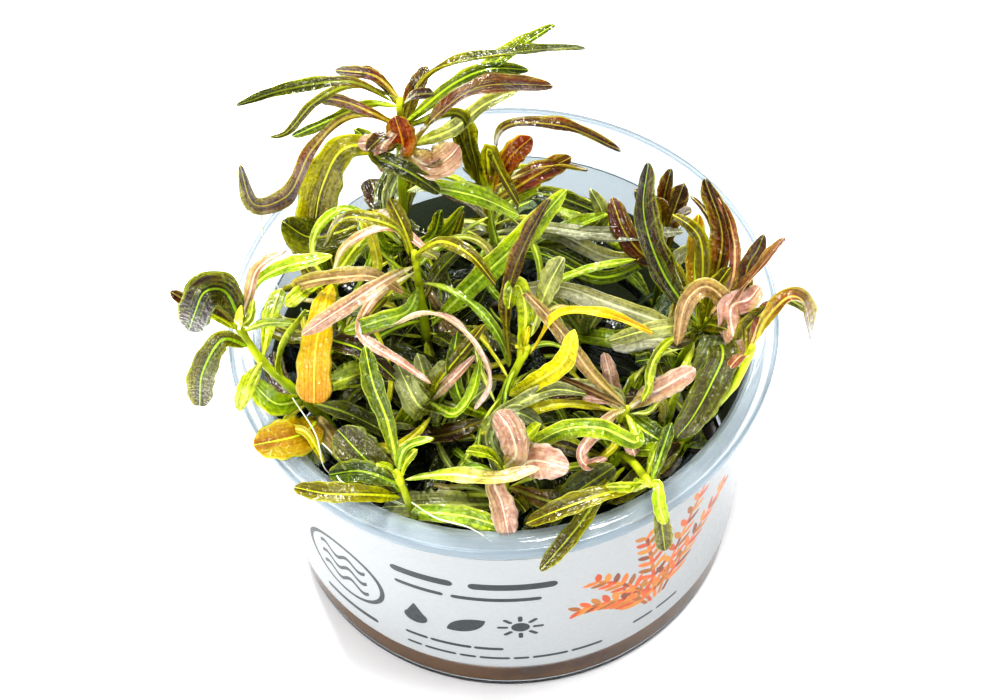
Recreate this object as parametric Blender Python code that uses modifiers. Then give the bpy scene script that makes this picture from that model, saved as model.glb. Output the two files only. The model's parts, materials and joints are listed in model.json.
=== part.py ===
# In vitro hygrophila: a clear round cup with a printed band, nutrient gel, and
# a crowd of plantlets with long lance-shaped leaves that stand in the gel.
# Metres, +Z up. The origin is the centre of the cup's flat underside.
import math

import bmesh
import bpy
import numpy as np

MM = 0.001
GAP = 0.3            # clearance between pieces that touch, mm

# The cup, in mm. Its wall leans out from the base to the rim.
CUP_HEIGHT = 62.0
RIM_RADIUS = 50.5
MOUTH_RADIUS = 46.0
BASE_RADIUS = 43.2
WALL = 0.7
FLOOR = 0.9
LIP_DROP = 3.0
CORNER = 1.6
RIDGE = 0.4
RIDGE_WIDTH = 2.0
RIDGE_SLOPE = 0.6
CUP_SEGMENTS = 44

# The printed band round the wall.
LABEL_BOTTOM = 9.9
LABEL_TOP = 52.0
LABEL_THICKNESS = 0.3

# The gel. Stems stand on it.
GEL_TOP = 9.5
GEL_DOME = 0.5
GEL_EDGE = 2.0
STEM_FOOT = GEL_TOP + GAP

# Leaf section: thickness at the midrib, and how far the margins lift.
LEAF_THICKNESS = 0.8
LEAF_FOLD = 0.22
LEAF_RINGS = 7
YOUNG_LEAF_RINGS = 2
LEAST_HALF_WIDTH = 0.35

# Leaf outline, as shares of its length and of its half width: a stalk, then a
# blade that is widest past its middle and ends bluntly.
STALK_LENGTH = 0.06
STALK_WIDTH = 0.25
WIDEST = 0.62
STEM_STEP = 11.0

# Stems: radius, then the route from the gel to the tip as x, y, z in mm.
STEMS = {
    "back_left": (1.3, [(-12, 14, STEM_FOOT), (-17, 18, 50), (-17, 17, 83), (-16, 18, 103)]),
    "back": (1.1, [(3, 18, STEM_FOOT), (-1, 18, 55), (-1, 16, 82)]),
    "left": (1.5, [(-20, -10, STEM_FOOT), (-30, -16, 45), (-35, -18, 62), (-43, -14, 71), (-47, -11, 79)]),
    "front_left": (1.4, [(-13, -20, STEM_FOOT), (-17, -33, 42), (-18, -38, 58), (-20, -36, 67)]),
    "centre": (1.5, [(-3, -10, STEM_FOOT), (-3, -18, 45), (-2, -21, 62), (4, -18, 77)]),
    "right": (1.4, [(22, -14, STEM_FOOT), (28, -25, 45), (32, -28, 62), (40, -24, 71), (43, -22, 79)]),
    "front_right": (1.5, [(10, -20, STEM_FOOT), (16, -28, 45), (20, -32, 62), (24, -41, 66)]),
    "front": (1.1, [(0, -25, STEM_FOOT), (-1, -34, 48), (-1, -37, 68)]),
    "centre_left": (1.3, [(-13, 0, STEM_FOOT), (-14, -3, 60), (-15, -2, 85)]),
    "right_inner": (1.2, [(23, -2, STEM_FOOT), (32, -9, 58), (36, -12, 74)]),
    "front_inner": (1.2, [(12, -10, STEM_FOOT), (18, -20, 48), (21, -26, 68)]),
    "mid_left": (1.2, [(-26, 0, STEM_FOOT), (-29, -2, 58), (-30, -2, 80)]),
    "young_back_right": (1.0, [(26, 14, STEM_FOOT), (30, 13, 56), (30, 13, 72)]),
    "young_front_left": (1.1, [(-9, -14, STEM_FOOT), (-12, -19, 45), (-14, -21, 66)]),
    "young_back_left": (1.0, [(-26, 14, STEM_FOOT), (-31, 17, 40), (-33, 20, 56)]),
    "young_right": (1.0, [(13, 2, STEM_FOOT), (14, -1, 42), (15, -2, 58)]),
}

# Leaves fused to a stem, in opposite pairs that turn a quarter each time, from
# its tip downwards: young pairs, length of the lowest of them in mm, heading of
# the first in degrees, and how steeply they stand. Older pairs follow below.
YOUNG_LEAVES = {
    "back_left": (2, 13, 150, 45),
    "back": (1, 6, 270, 80),
    "left": (2, 14, 165, 25),
    "front_left": (1, 8, 20, 75),
    "centre": (1, 6, 240, 80),
    "right": (1, 10, 60, 50),
    "front_right": (1, 7, 60, 50),
    "front": (1, 13, 20, 70),
    "centre_left": (1, 12, 300, 60),
    "right_inner": (2, 18, 30, 68),
    "front_inner": (2, 13, 10, 40),
    "mid_left": (1, 12, 45, 30),
    "young_back_right": (3, 18, 60, 68),
    "young_front_left": (3, 18, 20, 62),
    "young_back_left": (3, 20, 100, 66),
    "young_right": (3, 19, 120, 66),
}
FIRST_PAIR = 2.0        # mm from the stem's tip
YOUNG_SPACING = 7.0     # mm between one young pair and the next
YOUNG_SHARE = 0.55      # of the full length for a young leaf that has hardly grown
YOUNG_CLOSING = 12.0    # degrees steeper for each pair nearer the tip
STEEPEST = 85.0
LEAF_BEND = 25.0        # degrees from a small leaf's lower part to its upper part
LEAF_BEND_SHARE = 0.55  # of its length below that bend
OLD_SPACING = 12.0      # the same for the older pairs below them
OLD_LENGTH = 13.0
OLD_RISE = 58
OLD_PAIRS = {"default": 2, "front_left": 0, "left": 0, "right": 0, "centre": 0, "front_right": 1,
             "young_front_left": 1, "young_right": 1, "young_back_right": 3}
YOUNG_LEAF_SLENDER = 4.2    # length over width
YOUNG_LEAF_INSET = 0.4      # mm from the stem's axis to a young leaf's foot

# Long leaves by stem: height of the foot, route points after it, width, roll
# in degrees. The last route point is the tip.
LEAVES = {
    "back_left": [
        (102, [(-24, 18, 108), (-35, 19, 106), (-45, 21, 100)], 3.2, 25),
        (98, [(-25, 17, 100), (-32, 17, 92), (-38, 16, 80), (-44, 17, 77), (-46, 21, 84)], 3.8, 20),
        (101, [(-9, 19, 109), (4, 20, 111), (17, 23, 108)], 3.9, 20),
        (96, [(-2, 22, 104), (12, 27, 110)], 4.2, 0),
        (89, [(-9, 15, 102), (-2, 16, 107), (11, 18, 104)], 6.2, 15),
        (90, [(-26, 16, 93), (-31, 15, 84), (-34, 14, 70)], 8.2, 30),
        (79, [(-11, 12, 85), (-3, 10, 84), (4, 10, 78)], 5.2, 0),
    ],
    "back": [
        (80, [(2, 20, 91), (12, 19, 92), (23, 19, 84)], 3.4, 25),
        (79, [(9, 18, 82), (17, 20, 78)], 3.4, 20),
        (78, [(-5, 18, 88), (-7, 20, 96)], 5.0, 30),
        (58, [(9, 13, 68), (20, 11, 76)], 5.0, 0),
    ],
    "left": [
        (68, [(-39, -18, 79), (-34, -14, 86)], 3.4, 10),
        (77, [(-43, -7, 84), (-39, -6, 87), (-29, -5, 89)], 3.2, 0),
        (78, [(-48, -10, 87), (-51, -13, 91), (-53, -14, 87), (-55, -13, 80)], 7.0, 40),
        (75, [(-49, -16, 81), (-53, -18, 75), (-55, -18, 64)], 5.4, 40),
        (59, [(-37, -26, 65), (-45, -29, 67)], 7.8, 0),
        (63, [(-28, -23, 66), (-20, -26, 62)], 4.6, 0),
    ],
    "front_left": [
        (66, [(-21, -30, 74), (-23, -26, 80), (-24, -21, 84)], 4.2, 20),
        (61, [(-25, -40, 66), (-32, -40, 67), (-38, -37, 65)], 4.6, 0),
        (65, [(-11, -40, 71), (-2, -42, 72), (5, -41, 73)], 3.6, 0),
        (61, [(-25, -33, 66), (-30, -28, 69)], 8.0, 0),
    ],
    "centre": [
        (67, [(5, -25, 76), (10, -26, 83), (12, -25, 91)], 4.4, 0),
        (76, [(10, -18, 86), (17, -20, 88), (26, -19, 80)], 2.6, 0),
        (72, [(1, -14, 86), (5, -12, 100), (9, -10, 108)], 4.2, 20),
        (77, [(8, -13, 87), (11, -12, 94)], 4.8, 0),
    ],
    "right": [
        (79, [(45, -21, 85), (49, -20, 90), (51, -20, 89), (53, -22, 80)], 4.6, 0),
    ],
    "front_right": [
        (66, [(17, -44, 69), (9, -46, 68), (2, -47, 65)], 4.4, 0),
        (63, [(16, -41, 66), (11, -48, 65), (4, -53, 59)], 3.6, 0),
        (66, [(25, -46, 66), (26, -49, 57)], 3.8, 0),
    ],
    "front": [
        (66, [(4, -38, 71), (10, -40, 71)], 6.6, 0),
    ],
    "centre_left": [
        (84, [(-18, -2, 92), (-26, 0, 93), (-31, 1, 84)], 3.0, 10),
        (82, [(-20, -11, 89), (-28, -16, 88), (-35, -18, 84)], 3.6, 0),
        (64, [(-6, -5, 77), (4, -6, 92), (12, -5, 104)], 5.0, 15),
    ],
    "right_inner": [
        (71, [(28, -8, 84), (25, -4, 96), (26, 0, 104)], 6.4, 0),
        (68, [(21, -10, 76), (10, -6, 78), (1, -4, 75)], 6.0, 0),
        (72, [(39, -5, 88), (36, -1, 100)], 4.8, 20),
        (73, [(43, -13, 86), (49, -11, 95)], 4.6, 10),
        (68, [(37, -18, 76), (33, -22, 70)], 4.6, 0),
    ],
    "front_inner": [
        (66, [(9, -28, 73), (0, -29, 71), (-5, -30, 68)], 2.6, 0),
    ],
    "mid_left": [
        (78, [(-31, -11, 83), (-33, -18, 79), (-34, -23, 70)], 6.6, 0),
        (66, [(-29, -11, 72), (-20, -15, 81), (-12, -15, 84), (-6, -19, 82), (-3, -24, 76), (-6, -27, 71)], 3.2, 0),
    ],
}


def clear_scene():
    for item in list(bpy.data.objects):
        bpy.data.objects.remove(item, do_unlink=True)


def new_collection(name):
    group = bpy.data.collections.new(name)
    bpy.context.scene.collection.children.link(group)
    return group


def principled(name, colour, roughness, metallic=0.0):
    material = bpy.data.materials.new(name)
    material.use_nodes = True
    shader = material.node_tree.nodes["Principled BSDF"]
    shader.inputs["Base Color"].default_value = (*colour, 1.0)
    shader.inputs["Roughness"].default_value = roughness
    shader.inputs["Metallic"].default_value = metallic
    return material


def add_mesh(name, mesh, group, material):
    item = bpy.data.objects.new(name, mesh)
    group.objects.link(item)
    mesh.materials.append(material)
    return item


def smooth_route(points, step):
    """Point every step mm along a Catmull-Rom curve through the given points."""
    knots = np.array(points, float)
    knots = np.vstack([2 * knots[0] - knots[1], knots, 2 * knots[-1] - knots[-2]])
    spans = np.linalg.norm(np.diff(knots, axis=0), axis=1) ** 0.5
    times = np.concatenate([[0.0], np.cumsum(spans)])
    fine = []
    for i in range(1, len(knots) - 2):
        t0, t1, t2, t3 = times[i - 1:i + 3]
        p0, p1, p2, p3 = knots[i - 1:i + 3]
        for t in np.linspace(t1, t2, 24, endpoint=False):
            a1 = (p0 * (t1 - t) + p1 * (t - t0)) / (t1 - t0)
            a2 = (p1 * (t2 - t) + p2 * (t - t1)) / (t2 - t1)
            a3 = (p2 * (t3 - t) + p3 * (t - t2)) / (t3 - t2)
            b1 = (a1 * (t2 - t) + a2 * (t - t0)) / (t2 - t0)
            b2 = (a2 * (t3 - t) + a3 * (t - t1)) / (t3 - t1)
            fine.append((b1 * (t2 - t) + b2 * (t - t1)) / (t2 - t1))
    fine.append(knots[-2])
    return resample(np.array(fine), step)


def resample(points, step):
    """Same path with its points evenly spaced, about step mm apart."""
    lengths = np.concatenate([[0.0], np.cumsum(np.linalg.norm(np.diff(points, axis=0), axis=1))])
    count = max(2, round(lengths[-1] / step) + 1)
    even = np.linspace(0.0, lengths[-1], count)
    return np.stack([np.interp(even, lengths, points[:, axis]) for axis in range(3)], axis=1)


def outer_wall_radius(height):
    """Radius of the wall's outside, which leans out evenly from the base to the mouth."""
    lean = (MOUTH_RADIUS - BASE_RADIUS) / (CUP_HEIGHT - LIP_DROP - CORNER)
    return BASE_RADIUS + lean * (height - CORNER)


def turned(name, outline, group, material, on_axis):
    """Solid of revolution: outline is r, z in mm, outer side from top to bottom."""
    mesh = bpy.data.meshes.new(name)
    points = [(radius * MM, 0.0, height * MM) for radius, height in outline]
    edges = [(i, i + 1) for i in range(len(points) - 1)]
    if not on_axis:
        edges.append((len(points) - 1, 0))
    mesh.from_pydata(points, edges, [])
    item = add_mesh(name, mesh, group, material)
    screw = item.modifiers.new("Turn", "SCREW")
    screw.axis = "Z"
    screw.angle = 2 * math.pi
    screw.steps = CUP_SEGMENTS
    screw.render_steps = CUP_SEGMENTS
    screw.use_merge_vertices = True
    screw.merge_threshold = 0.00001
    screw.use_smooth_shade = True
    return item


def make_cup(group):
    clear = principled("clear plastic", (0.82, 0.85, 0.88), 0.08)
    inner_foot = FLOOR + CORNER
    lip_underside = CUP_HEIGHT - WALL
    outline = [
        (0.0, FLOOR),
        (outer_wall_radius(inner_foot) - WALL - CORNER, FLOOR),
        (outer_wall_radius(inner_foot) - WALL, inner_foot),
        (outer_wall_radius(CUP_HEIGHT - LIP_DROP) - WALL, CUP_HEIGHT - LIP_DROP),
        (MOUTH_RADIUS, CUP_HEIGHT - WALL),
        (MOUTH_RADIUS + RIDGE, CUP_HEIGHT),
        (MOUTH_RADIUS + RIDGE_WIDTH, CUP_HEIGHT),
        (MOUTH_RADIUS + RIDGE_WIDTH + RIDGE_SLOPE, CUP_HEIGHT - RIDGE),
        (RIM_RADIUS - WALL, CUP_HEIGHT - RIDGE),
        (RIM_RADIUS, CUP_HEIGHT - WALL),
        (RIM_RADIUS, CUP_HEIGHT - LIP_DROP),
        (RIM_RADIUS - WALL, CUP_HEIGHT - LIP_DROP),
        (RIM_RADIUS - WALL, lip_underside - RIDGE),
        (MOUTH_RADIUS + WALL, lip_underside - RIDGE),
        (outer_wall_radius(CUP_HEIGHT - LIP_DROP), CUP_HEIGHT - LIP_DROP),
        (BASE_RADIUS, CORNER),
        (BASE_RADIUS - CORNER / 3, CORNER / 3),
        (BASE_RADIUS - CORNER, 0.0),
        (0.0, 0.0),
    ]
    return turned("cup", outline, group, clear, on_axis=True)


def make_label(group):
    paper = principled("printed paper", (0.86, 0.86, 0.84), 0.5)
    inside = [outer_wall_radius(height) + GAP for height in (LABEL_TOP, LABEL_BOTTOM)]
    outline = [
        (inside[0], LABEL_TOP),
        (inside[0] + LABEL_THICKNESS, LABEL_TOP),
        (inside[1] + LABEL_THICKNESS, LABEL_BOTTOM),
        (inside[1], LABEL_BOTTOM),
    ]
    return turned("label", outline, group, paper, on_axis=False)


def make_gel(group):
    brown = principled("nutrient gel", (0.24, 0.13, 0.06), 0.2)
    bottom = FLOOR + GAP
    inner_foot = FLOOR + CORNER + GAP
    outline = [
        (0.0, GEL_TOP - GEL_DOME),
        (outer_wall_radius(GEL_TOP) - WALL - GAP - GEL_EDGE, GEL_TOP - GEL_DOME),
        (outer_wall_radius(GEL_TOP) - WALL - GAP, GEL_TOP),
        (outer_wall_radius(inner_foot) - WALL - GAP, inner_foot),
        (outer_wall_radius(inner_foot) - WALL - GAP - CORNER, bottom),
        (0.0, bottom),
    ]
    return turned("growth_gel", outline, group, brown, on_axis=True)


def blade_outline(t):
    """Half-width of a blade from 0 at its foot to 0 at its tip, largest 1."""
    grown = np.clip((t - STALK_LENGTH) / (WIDEST - STALK_LENGTH), 0.0, 1.0)
    closed = np.clip((t - WIDEST) / (1.0 - WIDEST), 0.0, 1.0)
    rising = STALK_WIDTH + (1.0 - STALK_WIDTH) * np.sin(0.5 * math.pi * grown)
    return np.minimum(t / STALK_LENGTH, 1.0) * rising * (1.0 - closed ** 3) ** 0.6


def blade_frames(points, roll):
    """Unit vectors along, across and out of the blade at each point, without twisting."""
    along = np.gradient(points, axis=0)
    along /= np.linalg.norm(along, axis=1)[:, None]
    outward = points[-1] - points[0]
    outward[2] = 0.0
    outward /= max(np.linalg.norm(outward), 1e-6)
    normal = np.array([0.0, 0.0, 1.0]) - 0.5 * outward
    normals = []
    for direction in along:
        normal = normal - direction * (normal @ direction)
        normal /= np.linalg.norm(normal)
        normals.append(normal)
    normals = np.array(normals)
    across = np.cross(along, normals)
    angle = math.radians(roll)
    turned_across = across * math.cos(angle) + normals * math.sin(angle)
    return along, turned_across, np.cross(turned_across, along)


def blade_solid(shape, points, width, roll, rings):
    """Loft four-cornered rings along the points into shape, closed at both ends."""
    even = resample(points, path_length(points) / (rings + 1))
    along, across, normal = blade_frames(even, roll)
    half_widths = 0.5 * width * blade_outline(np.linspace(0.0, 1.0, len(even)))
    foot = shape.verts.new(even[0] * MM)
    tip = shape.verts.new(even[-1] * MM)
    loops = []
    for i in range(1, len(even) - 1):
        half = max(half_widths[i], LEAST_HALF_WIDTH)
        lift = normal[i] * half * LEAF_FOLD
        thickness = normal[i] * min(LEAF_THICKNESS, half) * 0.5
        corners = [
            even[i] + across[i] * half + lift,
            even[i] + thickness,
            even[i] - across[i] * half + lift,
            even[i] - thickness,
        ]
        loops.append([shape.verts.new(corner * MM) for corner in corners])
    for side in range(4):
        other = (side + 1) % 4
        shape.faces.new((foot, loops[0][side], loops[0][other]))
        shape.faces.new((tip, loops[-1][other], loops[-1][side]))
        for lower, upper in zip(loops[:-1], loops[1:]):
            shape.faces.new((lower[side], upper[side], upper[other], lower[other]))
    bmesh.ops.recalc_face_normals(shape, faces=shape.faces)


def path_length(points):
    return float(np.linalg.norm(np.diff(points, axis=0), axis=1).sum())


def finish_mesh(name, shape):
    mesh = bpy.data.meshes.new(name)
    bmesh.ops.triangulate(shape, faces=shape.faces)
    shape.to_mesh(mesh)
    shape.free()
    mesh.shade_smooth()
    return mesh


def tube_mesh(name, points, radius):
    """Solid tube along the points, its end caps welded."""
    curve = bpy.data.curves.new(name, "CURVE")
    curve.dimensions = "3D"
    curve.bevel_depth = radius * MM
    curve.bevel_resolution = 2
    curve.use_fill_caps = True
    spline = curve.splines.new("POLY")
    spline.points.add(len(points) - 1)
    for knot, point in zip(spline.points, points):
        knot.co = (*(point * MM), 1.0)
    guide = bpy.data.objects.new(name, curve)
    bpy.context.scene.collection.objects.link(guide)
    bpy.context.view_layer.update()
    mesh = bpy.data.meshes.new_from_object(guide.evaluated_get(bpy.context.evaluated_depsgraph_get()))
    bpy.data.objects.remove(guide, do_unlink=True)
    shape = bmesh.new()
    shape.from_mesh(mesh)
    bmesh.ops.remove_doubles(shape, verts=shape.verts, dist=0.00001)
    shape.to_mesh(mesh)
    shape.free()
    return mesh


def stem_leaf_routes(name, route):
    """Foot, middle and tip of each leaf fused to the stem, from the tip's pair down."""
    young_pairs, young_length, heading, rise = YOUNG_LEAVES[name]
    old_pairs = OLD_PAIRS.get(name, OLD_PAIRS["default"])
    distance = FIRST_PAIR
    for pair in range(young_pairs + old_pairs):
        if pair < young_pairs:
            length = young_length * (YOUNG_SHARE + (1.0 - YOUNG_SHARE) * (pair + 1) / young_pairs)
            steepness = min(STEEPEST, rise + YOUNG_CLOSING * (young_pairs - 1 - pair))
        else:
            length, steepness = OLD_LENGTH, OLD_RISE
        node = point_from_tip(route, distance)
        for side in range(2):
            turn = math.radians(heading + 90.0 * pair + 180.0 * side)
            out = np.array([math.cos(turn), math.sin(turn), 0.0])
            foot = node + out * YOUNG_LEAF_INSET
            middle = foot + LEAF_BEND_SHARE * length * risen(out, steepness)
            tip = middle + (1.0 - LEAF_BEND_SHARE) * length * risen(out, steepness - LEAF_BEND)
            yield [foot, middle, tip], length / YOUNG_LEAF_SLENDER
        distance += YOUNG_SPACING if pair < young_pairs - 1 else OLD_SPACING


def risen(out, degrees):
    """Unit vector that leans up by an angle from the level direction out."""
    angle = math.radians(degrees)
    return out * math.cos(angle) + np.array([0.0, 0.0, math.sin(angle)])


def point_from_tip(route, distance):
    """Point on the route at a distance back from its tip, mm."""
    steps = np.linalg.norm(np.diff(route[::-1], axis=0), axis=1)
    lengths = np.concatenate([[0.0], np.cumsum(steps)])
    return np.array([np.interp(distance, lengths, route[::-1][:, axis]) for axis in range(3)])


def make_stem(name, group, cutters, material):
    """Stem tube with its small leaves fused to it."""
    radius, points = STEMS[name]
    route = smooth_route(points, STEM_STEP)
    title = name.replace("young_", "young_shoot_") if name.startswith("young_") else "stem_" + name
    stem = add_mesh(title, tube_mesh(title, route, radius), group, material)
    shape = bmesh.new()
    for leaf_points, width in stem_leaf_routes(name, route):
        leaf = smooth_route(leaf_points, 1.0)
        blade_solid(shape, leaf, width, 0.0, YOUNG_LEAF_RINGS)
    leaves = bpy.data.objects.new("small_leaves_" + name, finish_mesh("small_leaves_" + name, shape))
    cutters.objects.link(leaves)
    leaves.hide_render = True
    leaves.display_type = "WIRE"
    fuse = stem.modifiers.new("Fuse small leaves", "BOOLEAN")
    fuse.operation = "UNION"
    fuse.object = leaves
    fuse.use_self = True
    return route


def leaf_foot(route, height, radius, toward):
    """Point just outside the stem at the given height, on the side that the leaf leaves by."""
    if height >= route[-1][2]:
        away = np.array(toward, float) - route[-1]
        return route[-1] + away / np.linalg.norm(away) * (radius + GAP)
    rising = np.maximum.accumulate(route[:, 2])
    centre = np.array([np.interp(height, rising, route[:, axis]) for axis in range(3)])
    nearest = int(np.argmin(np.linalg.norm(route - centre, axis=1)))
    low, high = max(nearest - 1, 0), min(nearest + 1, len(route) - 1)
    axis_direction = route[high] - route[low]
    axis_direction /= np.linalg.norm(axis_direction)
    away = np.array(toward, float) - centre
    away -= axis_direction * (away @ axis_direction)
    away /= np.linalg.norm(away)
    return centre + away * (radius + GAP)


def make_leaf(name, route, radius, row, group, material):
    height, points, width, roll = row
    foot = leaf_foot(route, height, radius, points[0])
    spine = smooth_route([foot] + points, 1.0)
    shape = bmesh.new()
    blade_solid(shape, spine, width, roll, LEAF_RINGS)
    add_mesh(name, finish_mesh(name, shape), group, material)


def main():
    clear_scene()
    group = new_collection("in_vitro_hygrophila_cup")
    cutters = new_collection("cutters")
    make_cup(group)
    make_label(group)
    make_gel(group)
    stem_green = principled("stem", (0.16, 0.22, 0.05), 0.4)
    leaf_green = principled("leaf", (0.12, 0.2, 0.04), 0.35)
    for name, (radius, _) in STEMS.items():
        route = make_stem(name, group, cutters, stem_green)
        for number, row in enumerate(LEAVES.get(name, []), start=1):
            make_leaf(f"leaf_{name}_{number}", route, radius, row, group, leaf_green)


main()
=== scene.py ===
import json
import math

import bpy
import numpy as np
from mathutils import Matrix

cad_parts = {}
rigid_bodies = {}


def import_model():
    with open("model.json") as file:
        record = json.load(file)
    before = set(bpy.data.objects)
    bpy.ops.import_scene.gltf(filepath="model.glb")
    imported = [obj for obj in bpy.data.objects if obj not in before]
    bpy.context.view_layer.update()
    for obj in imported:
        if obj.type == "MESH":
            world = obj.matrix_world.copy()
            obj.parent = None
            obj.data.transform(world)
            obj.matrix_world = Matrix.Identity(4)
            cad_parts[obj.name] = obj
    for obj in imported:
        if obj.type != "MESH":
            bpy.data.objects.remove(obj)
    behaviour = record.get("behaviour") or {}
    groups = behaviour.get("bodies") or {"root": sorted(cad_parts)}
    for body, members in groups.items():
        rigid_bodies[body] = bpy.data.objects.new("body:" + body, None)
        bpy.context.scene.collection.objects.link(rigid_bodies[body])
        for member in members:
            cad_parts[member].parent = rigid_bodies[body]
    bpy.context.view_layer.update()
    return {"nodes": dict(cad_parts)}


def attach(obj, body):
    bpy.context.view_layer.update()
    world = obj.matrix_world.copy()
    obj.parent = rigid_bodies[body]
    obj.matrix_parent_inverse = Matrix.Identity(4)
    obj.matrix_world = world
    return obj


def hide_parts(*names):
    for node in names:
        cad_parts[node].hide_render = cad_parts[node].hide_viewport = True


# In vitro hygrophila in its clear cup. Lengths are in mm and become metres in the meshes.
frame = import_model()
mm = 0.001
rng = np.random.default_rng(11)
wetDepth = 1.22         # power of each colour channel: wet leaves are darker and more saturated


def linear(hexText):  # sRGB hex colour to linear RGBA
    value = np.array([int(hexText[i:i + 2], 16) for i in (1, 3, 5)]) / 255.0
    value = np.where(value <= 0.04045, value / 12.92, ((value + 0.055) / 1.055) ** 2.4)
    return (*value, 1.0)


def deep(hexText):  # the same colour on a wet leaf
    return (*(channel ** wetDepth for channel in linear(hexText)[:3]), 1.0)


def addNode(tree, kind, inputs=None, stops=(), **settings):
    # One node: its settings, its inputs as links or values, and the stops of a colour ramp
    node = tree.nodes.new(kind)
    for name, value in settings.items():
        setattr(node, name, value)
    for socket, value in (inputs or {}).items():
        if isinstance(value, bpy.types.NodeSocket):
            tree.links.new(value, node.inputs[socket])
        else:
            node.inputs[socket].default_value = value
    if stops:
        while len(node.color_ramp.elements) < len(stops):
            node.color_ramp.elements.new(0.5)
        for element, (position, colour) in zip(node.color_ramp.elements, stops):
            element.position, element.color = position, colour
    return node


def newMaterial(name, constants):  # Principled material with its constant sockets set
    material = bpy.data.materials.new(name)
    material.use_nodes = True
    tree = material.node_tree
    shader = tree.nodes["Principled BSDF"]
    for socket, value in constants.items():
        shader.inputs[socket].default_value = value
    return material, tree, shader


def addPiece(name, vertices, faces, materials, nodes=(), maps=None, values=None, faceMaterial=None):
    # One mesh piece at the origin that rides on the root body and stands for the named CAD nodes
    mesh = bpy.data.meshes.new(name)
    mesh.from_pydata((np.asarray(vertices) * mm).tolist(), [], faces)
    corner = np.zeros(len(mesh.loops), np.int32)
    mesh.loops.foreach_get("vertex_index", corner)
    for mapName, table in (maps or {}).items():
        layer = mesh.uv_layers.new(name=mapName)
        layer.data.foreach_set("uv", np.asarray(table, np.float32)[corner].ravel())
    for valueName, column in (values or {}).items():
        attribute = mesh.attributes.new(valueName, "FLOAT", "POINT")
        attribute.data.foreach_set("value", np.asarray(column, np.float32))
    for material in materials:
        mesh.materials.append(material)
    if faceMaterial is not None:
        mesh.polygons.foreach_set("material_index", np.asarray(faceMaterial, np.int32))
    mesh.shade_smooth()
    piece = bpy.data.objects.new(name, mesh)
    bpy.context.scene.collection.objects.link(piece)
    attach(piece, "root")
    if nodes:
        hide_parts(*nodes)


# Camera, light and floor

camera = {
    "lens": 100.0, "sensor": 36.0,          # mm
    "clip": (0.02, 20.0),                   # m
    "target": (-0.84, -7.79, 62.0),         # mm, as is the distance
    "distance": 503.86,
    "elevation": 54.487, "roll": -3.073,    # degrees: above the horizon, and about the line of sight
}

studio = {
    "sky": ("#ffffff", 0.62),
    "softboxes": [                          # size in m, place, watts
        (0.24, (-0.25, 0.7, 1.0), 15.0),    # behind: shines in the wet leaves and through them
        (0.3, (0.2, -0.1, 1.3), 7.5),       # overhead
        (0.4, (-0.4, -1.0, 0.5), 6.0),      # front left, on the print
    ],
    "aim": (0.0, 0.0, 0.06),                # m, where the softboxes point
    "floor": "#fbfbfc", "floorHalf": 3.0,   # m
    "view": ("Standard", "High Contrast"),
}


def addHolder(name, data, side, top, away, place):  # a camera or lamp with its axes and place given
    holder = bpy.data.objects.new(name, data)
    holder.matrix_world = Matrix([(side[i], top[i], away[i], place[i]) for i in range(3)] + [(0, 0, 0, 1)])
    bpy.context.scene.collection.objects.link(holder)
    return holder


def makeCamera():
    data = bpy.data.cameras.new("camera")
    data.lens, data.sensor_width = camera["lens"], camera["sensor"]
    data.clip_start, data.clip_end = camera["clip"]
    rise, roll = math.radians(camera["elevation"]), math.radians(camera["roll"])
    away = np.array([0.0, -math.cos(rise), math.sin(rise)])
    level, above = np.array([1.0, 0.0, 0.0]), np.array([0.0, math.sin(rise), math.cos(rise)])
    side = math.cos(roll) * level + math.sin(roll) * above
    top = -math.sin(roll) * level + math.cos(roll) * above
    place = (np.array(camera["target"]) + away * camera["distance"]) * mm
    bpy.context.scene.camera = addHolder("camera", data, side, top, away, place)


def makeLight():
    world = bpy.data.worlds.new("studio")
    world.use_nodes = True
    background = world.node_tree.nodes["Background"]
    background.inputs["Color"].default_value = linear(studio["sky"][0])
    background.inputs["Strength"].default_value = studio["sky"][1]
    bpy.context.scene.world = world
    for size, place, watts in studio["softboxes"]:
        lamp = bpy.data.lights.new("softbox", "AREA")
        lamp.size, lamp.energy = size, watts
        away = np.array(place) - studio["aim"]
        away /= np.linalg.norm(away)
        side = np.cross([0, 0, 1], away)
        side /= np.linalg.norm(side)
        addHolder("softbox", lamp, side, np.cross(away, side), away, place)
    bpy.context.scene.view_settings.view_transform, bpy.context.scene.view_settings.look = studio["view"]


def makeFloor():  # matt white paper sweep: pale, with no shine
    mesh = bpy.data.meshes.new("floor")
    half = studio["floorHalf"]
    mesh.from_pydata([(-half, -half, 0), (half, -half, 0), (half, half, 0), (-half, half, 0)], [],
                     [(0, 1, 2, 3)])
    floor = bpy.data.objects.new("floor", mesh)
    bpy.context.scene.collection.objects.link(floor)
    mesh.materials.append(newMaterial("matt white floor", {
        "Base Color": linear(studio["floor"]), "Roughness": 0.9})[0])


# Leaf and stem finishes. A submersed leaf is thin, soft and wet: light comes through it, its
# cuticle shines in broken patches, the midrib is a pale line and the side veins a faint net.
# Each look: colours along the blade from foot to tip, mottling, midrib, underside, share of
# light that goes through, and roughness.

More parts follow.
